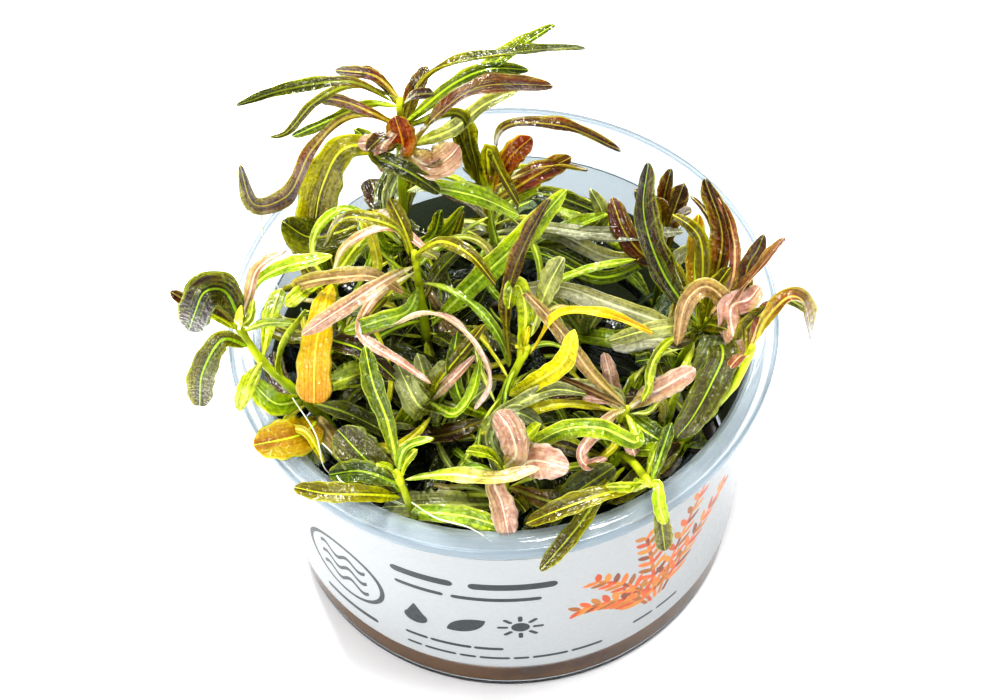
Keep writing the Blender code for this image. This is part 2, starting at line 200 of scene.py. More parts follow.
leafLooks = {
    "spring": ("#c0cc10", "#a4b80c", "#98a80c", "#44580a", "#ecf468", "#b0b42c", 0.5, 0.3),
    "lime": ("#b4cc10", "#94b40c", "#a8bc10", "#40640a", "#ecf878", "#a8c02c", 0.5, 0.24),
    "lemon": ("#c4c810", "#d4d010", "#d4c818", "#94880c", "#f8f870", "#d0d038", 0.5, 0.28),
    "olive": ("#a4a40c", "#767008", "#66580a", "#302e08", "#c8d02c", "#8c8a20", 0.4, 0.3),
    "darkOlive": ("#a4600c", "#5c600c", "#4c580c", "#282006", "#b4bc28", "#7c7818", 0.3, 0.24),
    "bronze": ("#7c7a0c", "#5a340c", "#3e2418", "#1c0e06", "#a49828", "#785c28", 0.3, 0.28),
    "smoke": ("#94880c", "#783c0c", "#70707c", "#30200f", "#bcb040", "#84746a", 0.3, 0.26),
    "forest": ("#98a80c", "#687c08", "#54680a", "#203008", "#cce838", "#7c8c1c", 0.35, 0.22),
    "maroon": ("#988810", "#7c3c28", "#683428", "#2c100c", "#d4c438", "#8c5c4c", 0.3, 0.26),
    "plum": ("#585818", "#46342c", "#443028", "#141010", "#b4dc18", "#6c5c50", 0.2, 0.18),
    "rust": ("#a47c10", "#a0440a", "#842c08", "#4c1c06", "#dca82c", "#985424", 0.4, 0.3),
    "blush": ("#bcbc4c", "#dcb49c", "#d8b0a4", "#9c6c5c", "#fcf4d8", "#ecd4c4", 0.35, 0.22),
    "greenBlush": ("#84b808", "#b0b840", "#dcb09c", "#7c7030", "#f0f8a0", "#d4cc88", 0.35, 0.24),
    "rosewood": ("#9c9438", "#946050", "#844c40", "#54302a", "#e4c48c", "#b08c7c", 0.3, 0.28),
    "amber": ("#ecd010", "#ecc40c", "#cc8810", "#c89418", "#fcf050", "#e8c438", 0.5, 0.26),
    "silver": ("#a8b038", "#a0a470", "#989c7c", "#505828", "#dcec80", "#c0c49c", 0.35, 0.14),
    "pearl": ("#98a050", "#bcbc9c", "#b4b4a0", "#64684c", "#e8ecc8", "#d4d4c0", 0.4, 0.12),
    "glassy": ("#8c8830", "#646034", "#6c6440", "#3c381c", "#c0e42c", "#8c885c", 0.3, 0.16),
    "gold": ("#b8a010", "#b08c10", "#9c6c0c", "#8c6410", "#c8f040", "#a08820", 0.5, 0.28),
    "ashTip": ("#a09c20", "#986420", "#8c9498", "#4c3414", "#d8c860", "#a09080", 0.3, 0.22),
    "withered": ("#a09040", "#b0946c", "#a88c64", "#605030", "#dcc890", "#b89c78", 0.45, 0.36),
    "duskGreen": ("#70740c", "#485008", "#3c440a", "#141806", "#98a830", "#646c20", 0.3, 0.22),
    # painted shade: a dark copy of a green leaf, for the undergrowth deep in the cup
    "shade": ("#26340a", "#1c2a06", "#182406", "#0a1004", "#44581c", "#263210", 0.0, 0.26),
}

leafFinish = {
    "veinSpacing": 2.3,             # mm between the ridges of the side veins; every second one is pale
    "veinSlope": 0.9,               # mm along the midrib for each mm away from it
    "netSize": 0.9,                 # mm, cells of the net of small veins
    "mottleSize": 3.2,              # mm
    "streakSize": (0.5, 9.0),       # mm across and along the blade
    "streakShift": 60.0,            # the streaks differ from leaf to leaf
    "ribFade": (0.12, 0.34),        # mm from the middle, where the midrib's line fades at its foot
    "ribTaper": 1.3,
    "ribStrength": 0.65, "litMarginStrength": 0.3,
    "litMarginFade": (0.86, 0.97),     # shares of the half width, where the pale margin is painted: painted light of the lit rim
    "tones": (1.35, 0.65), "hues": (0.49, 0.51),
}


def leafMaterial(name):  # wet leaf: its film of water gives small sharp lights over a soft, glowing blade
    foot, middle, tip, mottle, rib, under, glow, rough = leafLooks[name]
    finish = leafFinish
    material, tree, shader = newMaterial("wet leaf " + name, {
        "IOR": 1.42, "Specular IOR Level": 0.2, "Subsurface Weight": glow,
        "Subsurface Radius": (1.0, 0.95, 0.12), "Subsurface Scale": 0.0018,
        "Coat Weight": 1.0, "Coat Roughness": 0.04, "Coat IOR": 1.45,
    })
    blade, share = (addNode(tree, "ShaderNodeUVMap", uv_map=layer).outputs[0]
                    for layer in ("bladeMm", "bladeShare"))
    tone, lower = (addNode(tree, "ShaderNodeAttribute", attribute_name=layer).outputs["Fac"]
                   for layer in ("leafTone", "lowerSide"))
    place = addNode(tree, "ShaderNodeTexCoord").outputs["Object"]
    across, along, _ = addNode(tree, "ShaderNodeSeparateXYZ", {0: blade}).outputs
    shareAcross, shareAlong, _ = addNode(tree, "ShaderNodeSeparateXYZ", {0: share}).outputs
    distance, edge = (addNode(tree, "ShaderNodeMath", {0: source}, operation="ABSOLUTE").outputs[0]
                      for source in (across, shareAcross))
    # Midrib: a line that narrows towards the tip. Side veins leave it at about 45 degrees.
    taper = addNode(tree, "ShaderNodeMath", {0: finish["ribTaper"], 1: shareAlong},
                    operation="SUBTRACT").outputs[0]
    ribPlace = addNode(tree, "ShaderNodeMath", {0: distance, 1: taper}, operation="DIVIDE").outputs[0]
    slanted = addNode(tree, "ShaderNodeMath", {0: distance, 1: -finish["veinSlope"], 2: along},
                      operation="MULTIPLY_ADD").outputs[0]
    vein = addNode(tree, "ShaderNodeMath", {0: slanted, 1: finish["veinSpacing"]},
                   operation="PINGPONG").outputs[0]
    net = addNode(tree, "ShaderNodeTexNoise",
                  {"Vector": blade, "Scale": 1.0 / finish["netSize"], "Detail": 1.0}).outputs["Fac"]
    patches = addNode(tree, "ShaderNodeTexNoise", {"Vector": place, "Scale": 1.0 / (finish["mottleSize"] * mm),
                                                   "Detail": 3.0, "Roughness": 0.62}).outputs["Fac"]
    # Streaks along the blade, lighter and darker, that differ from leaf to leaf
    factors = (1.0 / finish["streakSize"][0], 1.0 / finish["streakSize"][1], finish["streakShift"])
    streakPlace = addNode(tree, "ShaderNodeCombineXYZ", {
        i: addNode(tree, "ShaderNodeMath", {0: source, 1: factor}, operation="MULTIPLY").outputs[0]
        for i, (source, factor) in enumerate(zip((across, along, tone), factors))}).outputs[0]
    streak = addNode(tree, "ShaderNodeTexNoise",
                     {"Vector": streakPlace, "Scale": 1.0, "Detail": 2.0}).outputs["Fac"]
    # Blade colour along its length, and paints laid on it in turn: what each paint follows, the
    # values of that for none and for most of it, its strength and its colour
    stops = [(0.0, deep(foot)), (0.45, deep(middle)), (1.0, deep(tip))]
    colour = addNode(tree, "ShaderNodeValToRGB", {"Fac": shareAlong}, stops).outputs["Color"]
    for source, none, most, strength, paint, fade in [
            (patches, 0.46, 0.72, 0.8, deep(mottle), "LINEAR"),
            (streak, 0.5, 0.72, 0.16, linear(rib), "LINEAR"),
            (streak, 0.5, 0.3, 0.5, deep(mottle), "LINEAR"),
            (lower, 0.0, 1.0, 0.6, deep(under), "LINEAR"),
            (vein, 0.4, 0.06, 0.08, linear(rib), "SMOOTHSTEP"),
            (net, 0.45, 0.62, 0.34, deep(mottle), "LINEAR")]:
        mask = addNode(tree, "ShaderNodeMapRange", {0: source, 1: none, 2: most, 3: 0.0, 4: strength},
                       interpolation_type=fade).outputs[0]
        colour = addNode(tree, "ShaderNodeMix", {0: mask, 6: colour, 7: paint}, data_type="RGBA").outputs[2]
    ribMask = addNode(tree, "ShaderNodeMapRange", {
        0: ribPlace, 1: finish["ribFade"][0], 2: finish["ribFade"][1], 3: finish["ribStrength"], 4: 0.0,
    }, interpolation_type="SMOOTHSTEP").outputs[0]
    # Pale margin: painted light, as if the thin rim were lit through; it is joined to the real midrib line
    litMarginMask = addNode(tree, "ShaderNodeMapRange", {
        0: edge, 1: finish["litMarginFade"][0], 2: finish["litMarginFade"][1], 3: 0.0, 4: finish["litMarginStrength"],
    }).outputs[0]
    paleMask = addNode(tree, "ShaderNodeMath", {0: ribMask, 1: litMarginMask}, operation="MAXIMUM").outputs[0]
    colour = addNode(tree, "ShaderNodeMix", {0: paleMask, 6: colour, 7: linear(rib)},
                     data_type="RGBA").outputs[2]
    # Each leaf is a little lighter or darker, and a little more yellow, than its neighbours
    hue, value = (addNode(tree, "ShaderNodeMapRange", {0: tone, 1: 0.0, 2: 1.0, 3: least, 4: most}).outputs[0]
                  for least, most in (finish["hues"], finish["tones"]))
    colour = addNode(tree, "ShaderNodeHueSaturation", {"Hue": hue, "Value": value, "Color": colour}).outputs[0]
    tree.links.new(colour, shader.inputs["Base Color"])
    # Broken wet shine and relief
    gloss = addNode(tree, "ShaderNodeMapRange",
                    {0: patches, 1: 0.3, 2: 0.7, 3: rough - 0.1, 4: rough + 0.14}).outputs[0]
    tree.links.new(gloss, shader.inputs["Roughness"])
    relief = addNode(tree, "ShaderNodeMath", {0: net, 1: 0.8, 2: streak}, operation="MULTIPLY_ADD").outputs[0]
    bump = addNode(tree, "ShaderNodeBump", {"Height": relief, "Strength": 0.9, "Distance": 0.00045}).outputs[0]
    tree.links.new(bump, shader.inputs["Normal"])
    tree.links.new(bump, shader.inputs["Coat Normal"])
    return material


stemFinish = {
    "colours": ((0.0, "#24280c"), (0.5, "#56600c"), (0.8, "#a8bc14"), (1.0, "#ccd830")),   # from foot to tip
    "stain": "#6b5a22", "stainSize": 2.5,       # mm
}


def stemMaterial():  # juicy stem: a smooth skin with a soft sheen, brown-green low down and bright at the tip
    material, tree, shader = newMaterial("soft green stem", {
        "IOR": 1.42, "Subsurface Weight": 0.35, "Subsurface Radius": (1.0, 0.9, 0.2),
        "Subsurface Scale": 0.0012, "Coat Weight": 0.3, "Coat Roughness": 0.15,
    })
    share = addNode(tree, "ShaderNodeUVMap", uv_map="bladeShare").outputs[0]
    place = addNode(tree, "ShaderNodeTexCoord").outputs["Object"]
    _, shareAlong, _ = addNode(tree, "ShaderNodeSeparateXYZ", {0: share}).outputs
    stops = [(position, linear(hexText)) for position, hexText in stemFinish["colours"]]
    colour = addNode(tree, "ShaderNodeValToRGB", {"Fac": shareAlong}, stops).outputs["Color"]
    patches = addNode(tree, "ShaderNodeTexNoise", {
        "Vector": place, "Scale": 1.0 / (stemFinish["stainSize"] * mm), "Detail": 4.0}).outputs["Fac"]
    mask = addNode(tree, "ShaderNodeMapRange", {0: patches, 1: 0.5, 2: 0.75, 3: 0.0, 4: 0.6}).outputs[0]
    colour = addNode(tree, "ShaderNodeMix", {0: mask, 6: colour, 7: linear(stemFinish["stain"])},
                     data_type="RGBA").outputs[2]
    tree.links.new(colour, shader.inputs["Base Color"])
    gloss = addNode(tree, "ShaderNodeMapRange", {0: patches, 1: 0.3, 2: 0.7, 3: 0.25, 4: 0.45}).outputs[0]
    tree.links.new(gloss, shader.inputs["Roughness"])
    bump = addNode(tree, "ShaderNodeBump", {"Height": patches, "Strength": 0.4, "Distance": 0.0002}).outputs[0]
    tree.links.new(bump, shader.inputs["Normal"])
    return material


def rootMaterial():  # root: white, soft and slightly see-through
    return newMaterial("white root", {"Base Color": linear("#e6e6d2"), "Roughness": 0.35,
                                      "Subsurface Weight": 0.4, "Subsurface Scale": 0.001})[0]


# Routes. The points of stems and leaves are those of the CAD source, in mm.

def evenPoints(points, count):  # the same path with count points evenly spaced by length
    lengths = np.concatenate([[0.0], np.cumsum(np.linalg.norm(np.diff(points, axis=0), axis=1))])
    even = np.linspace(0.0, lengths[-1], count)
    return np.stack([np.interp(even, lengths, points[:, axis]) for axis in range(3)], axis=1)


def smoothPath(points, count):
    # Centripetal Catmull-Rom: each span is blended from straight lines through its four nearest knots
    knots = np.array(points, float)
    knots = np.vstack([2 * knots[0] - knots[1], knots, 2 * knots[-1] - knots[-2]])
    times = np.concatenate([[0.0], np.cumsum(np.linalg.norm(np.diff(knots, axis=0), axis=1) ** 0.5)])
    fine = []
    for i in range(1, len(knots) - 2):
        t0, t1, t2, t3 = times[i - 1:i + 3]
        p0, p1, p2, p3 = knots[i - 1:i + 3]
        t = np.linspace(t1, t2, 24, endpoint=False)[:, None]
        a1 = (p0 * (t1 - t) + p1 * (t - t0)) / (t1 - t0)
        a2 = (p1 * (t2 - t) + p2 * (t - t1)) / (t2 - t1)
        a3 = (p2 * (t3 - t) + p3 * (t - t2)) / (t3 - t2)
        b1 = (a1 * (t2 - t) + a2 * (t - t0)) / (t2 - t0)
        b2 = (a2 * (t3 - t) + a3 * (t - t1)) / (t3 - t1)
        fine.append((b1 * (t2 - t) + b2 * (t - t1)) / (t2 - t1))
    return evenPoints(np.vstack(fine + [knots[-2:-1]]), count)


def pathLength(points):
    return float(np.linalg.norm(np.diff(points, axis=0), axis=1).sum())


toFront = np.array([0.0, -0.58, 0.81])  # up and to the front, where many blades turn their faces


def pathFrames(points, facing=False):
    # Unit vectors along, across and out of a blade, carried along without twisting, or turned to the front
    along = np.gradient(points, axis=0)
    along /= np.linalg.norm(along, axis=1)[:, None]
    outward = (points[-1] - points[0]) * (1.0, 1.0, 0.0)
    normal = np.array([0.0, 0.0, 1.0]) - 0.5 * outward / max(np.linalg.norm(outward), 1e-6)
    normals = np.zeros_like(points)
    for i, direction in enumerate(along):
        if facing:
            normal = toFront + 0.4 * normal
        normal = normal - direction * (normal @ direction)
        normal /= np.linalg.norm(normal)
        normals[i] = normal
    return along, np.cross(along, normals), normals


# Cup, and what the plants need to know of it

cup = {
    "height": 62.0, "rim": 50.5, "mouth": 46.0, "base": 43.2,
    "wall": 0.7, "floor": 0.9, "lip": 3.0, "corner": 1.6, "segments": 192,
    "cornerTop": 2.5,                       # height at which the wall inside leaves the floor's corner
    "mouthRoll": [(0.12, 60.2), (0.45, 61.0), (0.9, 61.55), (1.35, 61.85)],     # past the wall's inside, height
    "flangeTop": [(46.9, 62.0), (47.7, 62.0), (48.1, 61.9), (48.45, 61.68), (49.3, 61.6), (49.95, 61.52)],
    "flangeRoll": ((49.9, 60.9), 0.6),      # centre of its arc and radius
    "flangeEdge": (60.0, 59.25),            # heights of the upright edge at the rim's radius
    "flangeUnder": [(50.4, 59.05), (50.15, 59.0), (49.9, 59.08), (49.8, 59.3), (49.8, 60.3), (49.66, 60.7),
                    (49.3, 60.88), (48.2, 60.9), (47.2, 60.9), (46.7, 60.65), (46.3, 60.1)],
    "flangeFrom": 46.6, "edgeFrom": 50.0,   # radii at which the plastic looks denser
    "clearPast": 2.0,                       # mm above the printed band's foot where the haze starts
    "finishes": [                           # share of light that goes through, colour of the haze
        ("hazy polypropylene", 0.82, "#dae3ea"), ("clear polypropylene", 1.0, "#dae3ea"),
        ("flange polypropylene", 0.7, "#c6d0d6"), ("rolled polypropylene", 0.5, "#9caab2"),
    ],
}
gap = 0.3               # mm between pieces that touch
gelTop = 9.5
stemFoot = gelTop + gap


def wallRadius(height):  # the wall leans out evenly from the base to the mouth
    lean = (cup["mouth"] - cup["base"]) / (cup["height"] - cup["lip"] - cup["corner"])
    return cup["base"] + lean * (height - cup["corner"])


def insideCup(points, margin=0.5):  # below the rim, points past the wall are pressed back against it
    limit = (wallRadius(points[:, 2]) - cup["wall"] - margin
             + 3.0 * np.maximum(points[:, 2] - cup["height"] - 0.5, 0.0))
    radius = np.hypot(points[:, 0], points[:, 1])
    scale = np.where(radius > limit, limit / np.maximum(radius, 1e-6), 1.0)
    return points * np.stack([scale, scale, np.ones_like(scale)], axis=1)


# Blades

blade = {
    "stalk": 0.06, "stalkWidth": 0.25, "widest": 0.62,      # shares of the length and of the half width
    "widestDrift": 0.09,            # how far the widest place moves from leaf to leaf
    "outlineWaver": (0.05, 37.0),   # share of the half width, and radians along the leaf
    "foldWaver": (0.35, 5.0),       # share of the fold, and radians along the leaf
    "marginWaves": 0.55,            # radians per mm
    "veinRelief": 0.03,             # mm
    "thickness": (0.1, 0.2, 0.45),  # mm: half of it at the margin, what the midrib adds, and over what width
    "groove": (0.16, 0.3),          # mm: depth and width of the furrow over the midrib
}


def bladeOutline(t, widest):
    # Share of the half width: a stalk, a blade widest past its middle, and a blunt tip
    grown = np.clip((t - blade["stalk"]) / (widest - blade["stalk"]), 0.0, 1.0)
    closed = np.clip((t - widest) / (1.0 - widest), 0.0, 1.0)
    rising = blade["stalkWidth"] + (1.0 - blade["stalkWidth"]) * np.sin(0.5 * math.pi * grown)
    return np.minimum(t / blade["stalk"], 1.0) * rising * (1.0 - closed ** 3) ** 0.6


def leafShape(fold, roll, twist, wave, facing=False, widest=None):
    phase = rng.uniform(0.0, 6.28)
    if widest is None:
        widest = blade["widest"] + blade["widestDrift"] * math.sin(phase)
    return {"fold": fold, "roll": roll, "twist": twist, "wave": wave, "phase": phase, "facing": facing,
            "widest": widest}


def bladeGrid(path, width, shape, rows, columns):
    # Blade from two parameters, t along and x across. The section is an arc of angle fold, its margins
    # wave with t, side veins quilt it, and it is thicker at the midrib. It turns by roll and twist.
    spine = smoothPath(path, rows)
    length, phase = pathLength(spine), shape["phase"]
    along, across, normal = pathFrames(spine, shape["facing"])
    t = np.linspace(0.0, 1.0, rows)
    angle = np.radians(shape["roll"] + shape["twist"] * t)[:, None]
    side = across * np.cos(angle) + normal * np.sin(angle)
    out = np.cross(side, along)
    part, turns = blade["outlineWaver"]
    half = (0.5 * width * bladeOutline(t, shape["widest"]) * (1.0 + part * np.sin(t * turns + phase)))[:, None]
    part, turns = blade["foldWaver"]
    fold = np.maximum(shape["fold"] * (1.0 + part * np.sin(t * turns + phase)), 0.02)[:, None]
    t = t[:, None]
    top = np.linspace(-1.0, 1.0, columns)
    top = np.sign(top) * np.abs(top) ** 1.4
    x = np.concatenate([top, top[-2:0:-1]])
    upper = np.concatenate([np.ones(columns), -np.ones(columns - 2)]) * (1.0 - np.abs(x) ** 3)
    window = np.sin(math.pi * t)
    rise = half * ((1.0 - np.cos(fold * x)) / fold)
    rise = rise + shape["wave"] * window * x ** 2 * np.sin(
        t * length * blade["marginWaves"] + phase + 1.7 * np.sign(x))
    veins = np.cos(2 * math.pi * (t * length - leafFinish["veinSlope"] * np.abs(x) * half)
                   / leafFinish["veinSpacing"])
    rise = rise + blade["veinRelief"] * veins * window * np.minimum(np.abs(x) * 3.0, 1.0) * (1.0 - x ** 4)
    margin, midrib, reach = blade["thickness"]
    thick = np.minimum(margin + midrib * np.exp(-(x * half / reach) ** 2), half * 0.8 + 0.02)
    depth, reach = blade["groove"]
    groove = depth * np.exp(-(x * half / reach) ** 2) * (upper > 0)
    rise = rise + upper * thick - groove * window
    spread = half * (np.sin(fold * x) / fold)
    points = spine[:, None] + side[:, None] * spread[..., None] + out[:, None] * rise[..., None]
    maps = {"bladeMm": np.stack(np.broadcast_arrays(half * x, t * length), axis=-1),
            "bladeShare": np.stack(np.broadcast_arrays(x, t), axis=-1)}
    return spine, points, maps, np.broadcast_to(upper < 0, points.shape[:2]).astype(float)


def ringMesh(points, ends):
    # Rings of a closed section become quads, and each end a fan to its own pole
    rows, ring = points.shape[:2]
    index = np.arange(rows * ring).reshape(rows, ring)
    after = np.roll(index, -1, axis=1)
    quads = np.stack([index[:-1], after[:-1], after[1:], index[1:]], axis=-1).reshape(-1, 4)
    fans = np.concatenate([np.stack([after[0], index[0], np.full(ring, rows * ring)], axis=-1),
                           np.stack([index[-1], after[-1], np.full(ring, rows * ring + 1)], axis=-1)])
    return np.vstack([points.reshape(-1, 3), ends]), quads, fans


class Bunch:  # several closed grids gathered into one mesh
    def __init__(self):
        self.vertices, self.faces, self.tables, self.lower, self.tones, self.looks = [], [], {}, [], [], []
        self.count = 0

    def add(self, points, maps, lower, ends, look, pressed=False):
        vertices, quads, fans = ringMesh(points, ends)
        self.vertices.append(insideCup(vertices) if pressed else vertices)
        self.faces += (quads + self.count).tolist() + (fans + self.count).tolist()
        self.looks += [look] * (len(quads) + len(fans))
        for name, table in maps.items():
            flat = table.reshape(-1, 2)
            self.tables.setdefault(name, []).append(np.vstack([flat, [(0.0, flat[0, 1]), (0.0, flat[-1, 1])]]))
        self.lower.append(np.concatenate([lower.ravel(), [0.0, 0.0]]))
        self.tones.append(np.full(len(vertices), rng.uniform(0.0, 1.0)))
        self.count += len(vertices)

    def piece(self, name, slot, nodes=()):
        names = sorted(set(self.looks))
        order = {look: i for i, look in enumerate(names)}
        addPiece(name, np.vstack(self.vertices), self.faces, [materials[look] for look in names], nodes,
                 {key: np.vstack(tables) for key, tables in self.tables.items()},
                 {"lowerSide": np.concatenate(self.lower), "leafTone": np.concatenate(self.tones)},
                 [order[look] for look in self.looks])


def addLeaf(bunch, path, width, look, shape, grid, pressed=False):
    spine, points, maps, lower = bladeGrid(path, width, shape, *grid)
    maps = {key: table[1:-1] for key, table in maps.items()}
    bunch.add(points[1:-1], maps, lower[1:-1], spine[[0, -1]], look, pressed)


def addTube(bunch, path, radii, look, ring=18):
    # Tube: a circle of the given radius carried along the path
    along, across, normal = pathFrames(path)
    angle = np.linspace(0.0, 2 * math.pi, ring, endpoint=False)[::-1]
    points = path[:, None] + radii[:, None, None] * (
        across[:, None] * np.cos(angle)[None, :, None] + normal[:, None] * np.sin(angle)[None, :, None])
    t = np.linspace(0.0, 1.0, len(path))[:, None]
    maps = {"bladeMm": np.stack(np.broadcast_arrays(angle, t * pathLength(path)), axis=-1),
            "bladeShare": np.stack(np.broadcast_arrays(np.cos(angle), t), axis=-1)}
    ends = np.array([path[0] - along[0] * radii[0] * 0.4, path[-1] + along[-1] * radii[-1] * 0.8])
    bunch.add(points, maps, np.zeros(points.shape[:2]), ends, look)


# Stems: radius, then route from the gel to the tip

stems = {
    "back_left": (1.3, [(-12, 14, stemFoot), (-17, 18, 50), (-17, 17, 83), (-16, 18, 103)]),
    "back": (1.1, [(3, 18, stemFoot), (-1, 18, 55), (-1, 16, 82)]),
    "left": (1.5, [(-20, -10, stemFoot), (-30, -16, 45), (-35, -18, 62), (-43, -14, 71), (-47, -11, 79)]),
    "front_left": (1.4, [(-13, -20, stemFoot), (-17, -33, 42), (-18, -38, 58), (-20, -36, 67)]),
    "centre": (1.5, [(-3, -10, stemFoot), (-3, -18, 45), (-2, -21, 62), (4, -18, 77)]),
    "right": (1.4, [(22, -14, stemFoot), (28, -25, 45), (32, -28, 62), (40, -24, 71), (43, -22, 79)]),
    "front_right": (1.5, [(10, -20, stemFoot), (16, -28, 45), (20, -32, 62), (24, -41, 66)]),
    "front": (1.1, [(0, -25, stemFoot), (-1, -34, 48), (-1, -37, 68)]),
    "centre_left": (1.3, [(-13, 0, stemFoot), (-14, -3, 60), (-15, -2, 85)]),
    "right_inner": (1.2, [(23, -2, stemFoot), (32, -9, 58), (36, -12, 74)]),
    "front_inner": (1.2, [(12, -10, stemFoot), (18, -20, 48), (21, -26, 68)]),
    "mid_left": (1.2, [(-26, 0, stemFoot), (-29, -2, 58), (-30, -2, 80)]),
    "young_back_right": (1.0, [(26, 14, stemFoot), (30, 13, 56), (30, 13, 72)]),
    "young_front_left": (1.1, [(-9, -14, stemFoot), (-12, -19, 45), (-14, -21, 66)]),
    "young_back_left": (1.0, [(-26, 14, stemFoot), (-31, 17, 40), (-33, 20, 56)]),
    "young_right": (1.0, [(13, 2, stemFoot), (14, -1, 42), (15, -2, 58)]),
}
stemForm = {
    "rows": 90, "coarseStep": 11.0,         # mm between the points that carry leaves
    "thin": (0.55, 0.2, 40.0),      # shares of the radius at the tip and added lower down, and over what mm
    "nodes": (7.0, 2.0, 0.9),       # mm between the swollen nodes, from the tip to the first, and their width
    "between": 0.86, "swelling": 0.22,      # shares of the radius
}

# Small leaves on each stem: young pairs, length of the lowest, heading, steepness, the look of
# the young ones and the looks that the older ones below take in turn
smallLeaves = {
    "back_left": (2, 13, 150, 45, "bronze", ("olive", "withered", "forest")),
    "back": (1, 6, 270, 80, "rust", ("bronze", "olive", "spring")),
    "left": (2, 14, 165, 25, "spring", ("forest", "spring", "silver")),
    "front_left": (1, 8, 20, 75, "spring", ("forest", "olive")),
    "centre": (1, 6, 240, 80, "lemon", ("spring", "lemon", "olive")),
    "right": (1, 10, 60, 50, "rosewood", ("rust", "spring", "olive")),
    "front_right": (1, 7, 60, 50, "spring", ("forest", "spring")),
    "front": (1, 13, 20, 70, "spring", ("olive", "spring", "silver")),
    "centre_left": (1, 12, 300, 60, "olive", ("spring", "silver", "darkOlive")),
    "right_inner": (2, 18, 30, 68, "olive", ("silver", "forest", "plum")),
    "front_inner": (2, 13, 10, 40, "blush", ("duskGreen", "silver", "spring")),
    "mid_left": (1, 12, 45, 30, "spring", ("forest", "spring", "olive")),
    "young_back_right": (3, 18, 60, 68, "bronze", ("forest", "spring", "bronze")),
    "young_front_left": (3, 18, 20, 62, "silver", ("forest", "spring", "duskGreen")),
    "young_back_left": (3, 20, 100, 66, "olive", ("duskGreen", "forest", "bronze")),
    "young_right": (3, 19, 120, 66, "silver", ("duskGreen", "spring", "plum")),
}
oldPairs = {"front_left": 0, "left": 0, "right": 0, "centre": 0, "front_right": 1, "young_front_left": 1,
            "young_right": 1, "young_back_right": 3}

# Rules for the four kinds of small leaf. All hold the ranges of fold, roll and twist, the waves of
# the margins, and the rows and columns of the blade's grid. Lengths are in mm, angles in degrees.
pairRule = {
    "start": 2.0, "youngSpacing": 7.0, "oldSpacing": 12.0, "oldLength": 13.0, "oldRise": 58.0, "oldPairs": 2,
    "growth": (0.55, 0.45),         # shares of the lowest young leaf's length: the least, and what is added
    "steeper": 12.0, "steepest": 85.0, "slender": 4.2, "wider": 1.1, "inset": 0.4, "turn": 90.0,
    "bend": (0.55, 0.45), "droop": 25.0,    # shares of the length before and after the bend
    "fold": (0.4, 0.9), "roll": None, "twist": (-25, 25), "wave": 0.2, "grid": (22, 9),
}

# Canopy: narrow ribbon leaves that arch over and curl to one side, below the tops of the older stems
canopy = {
    "stems": ("back", "centre", "centre_left", "front", "right_inner", "front_inner", "mid_left", "young_right",
              "young_front_left", "young_back_left"),
    "first": 5.0, "spacing": 3.6, "last": 40.0, "lowest": 26.0, "swing": 25.0, "turn": 90.0, "steps": 12,
    "length": (16.0, 30.0), "slender": (10.0, 19.0), "rise": (0.0, 55.0), "droop": (60.0, 150.0),
    "curl": (-150.0, 150.0), "reach": 36.0, "top": 92.0,
    "looks": ("spring", "lime", "lemon", "greenBlush", "olive", "forest", "lime", "lemon", "spring", "silver"),
    "fold": (0.4, 1.1), "roll": (-40, 40), "twist": (-60, 60), "wave": 0.3, "grid": (28, 9),
}

# Undergrowth: longer leaves lower on every stem, which crowd the cup and hide the gel
undergrowth = {
    "lowest": 16.0, "spacing": 6.5, "below": 16.0,
    "length": (19.0, 29.0), "width": (4.2, 6.6), "rise": (5.0, 50.0),
    "inset": 0.6, "swing": 20.0, "tipSwing": 45.0, "droop": 45.0, "bend": (0.5, 0.5), "turn": 90.0,
    "deep": 50.0, "top": 60.5,              # heights: below the first one the leaves take the dark look, painted shade
    "looks": ("duskGreen", "forest", "olive", "silver", "duskGreen", "spring", "plum", "duskGreen", "withered",
              "bronze"),
    "fold": (0.3, 1.0), "roll": (-30, 30), "twist": (-50, 50), "wave": 0.4, "grid": (20, 7),
}
seenRule = {"wave": 0.3, "grid": (48, 11)}
longRule = {"wave": 0.35, "grid": (72, 19), "narrower": 0.96}
wallMargin = 3.0        # mm from the wall to the middle of a blade that is pressed against it


def risen(out, degrees):  # unit vector that leans up from the level direction out
    angle = math.radians(degrees)
    return out * math.cos(angle) + np.array([0.0, 0.0, math.sin(angle)])


def heading(degrees):
    return np.array([math.cos(math.radians(degrees)), math.sin(math.radians(degrees)), 0.0])


def pointFromTip(route, distance):
    lengths = np.concatenate([[0.0], np.cumsum(np.linalg.norm(np.diff(route[::-1], axis=0), axis=1))])
    return np.array([np.interp(distance, lengths, route[::-1][:, axis]) for axis in range(3)])


def bentPath(foot, length, out, tipOut, steepness, rule):
    # Foot, middle and tip of a small leaf. Its far part leans less steeply.
    middle = foot + rule["bend"][0] * length * risen(out, steepness)
    return [foot, middle, middle + rule["bend"][1] * length * risen(tipOut, steepness - rule["droop"])]


def pairRoutes(name, route):  # the small leaves from the tip's pair down
    rule = pairRule
    young, youngLength, first, rise, youngLook, oldLooks = smallLeaves[name]
    distance = rule["start"]
    for pair in range(young + oldPairs.get(name, rule["oldPairs"])):
        if pair < young:
            length = youngLength * (rule["growth"][0] + rule["growth"][1] * (pair + 1) / young)
            steepness = min(rule["steepest"], rise + rule["steeper"] * (young - 1 - pair))
        else:
            length, steepness = rule["oldLength"], rule["oldRise"]
        node = pointFromTip(route, distance)
        for side in range(2):
            out = heading(first + rule["turn"] * pair + 180.0 * side)
            look = youngLook if pair < young else oldLooks[(2 * pair + side) % len(oldLooks)]
            path = bentPath(node + out * rule["inset"], length, out, out, steepness, rule)
            yield path, length / rule["slender"] * rule["wider"], look
        distance += rule["youngSpacing"] if pair < young - 1 else rule["oldSpacing"]


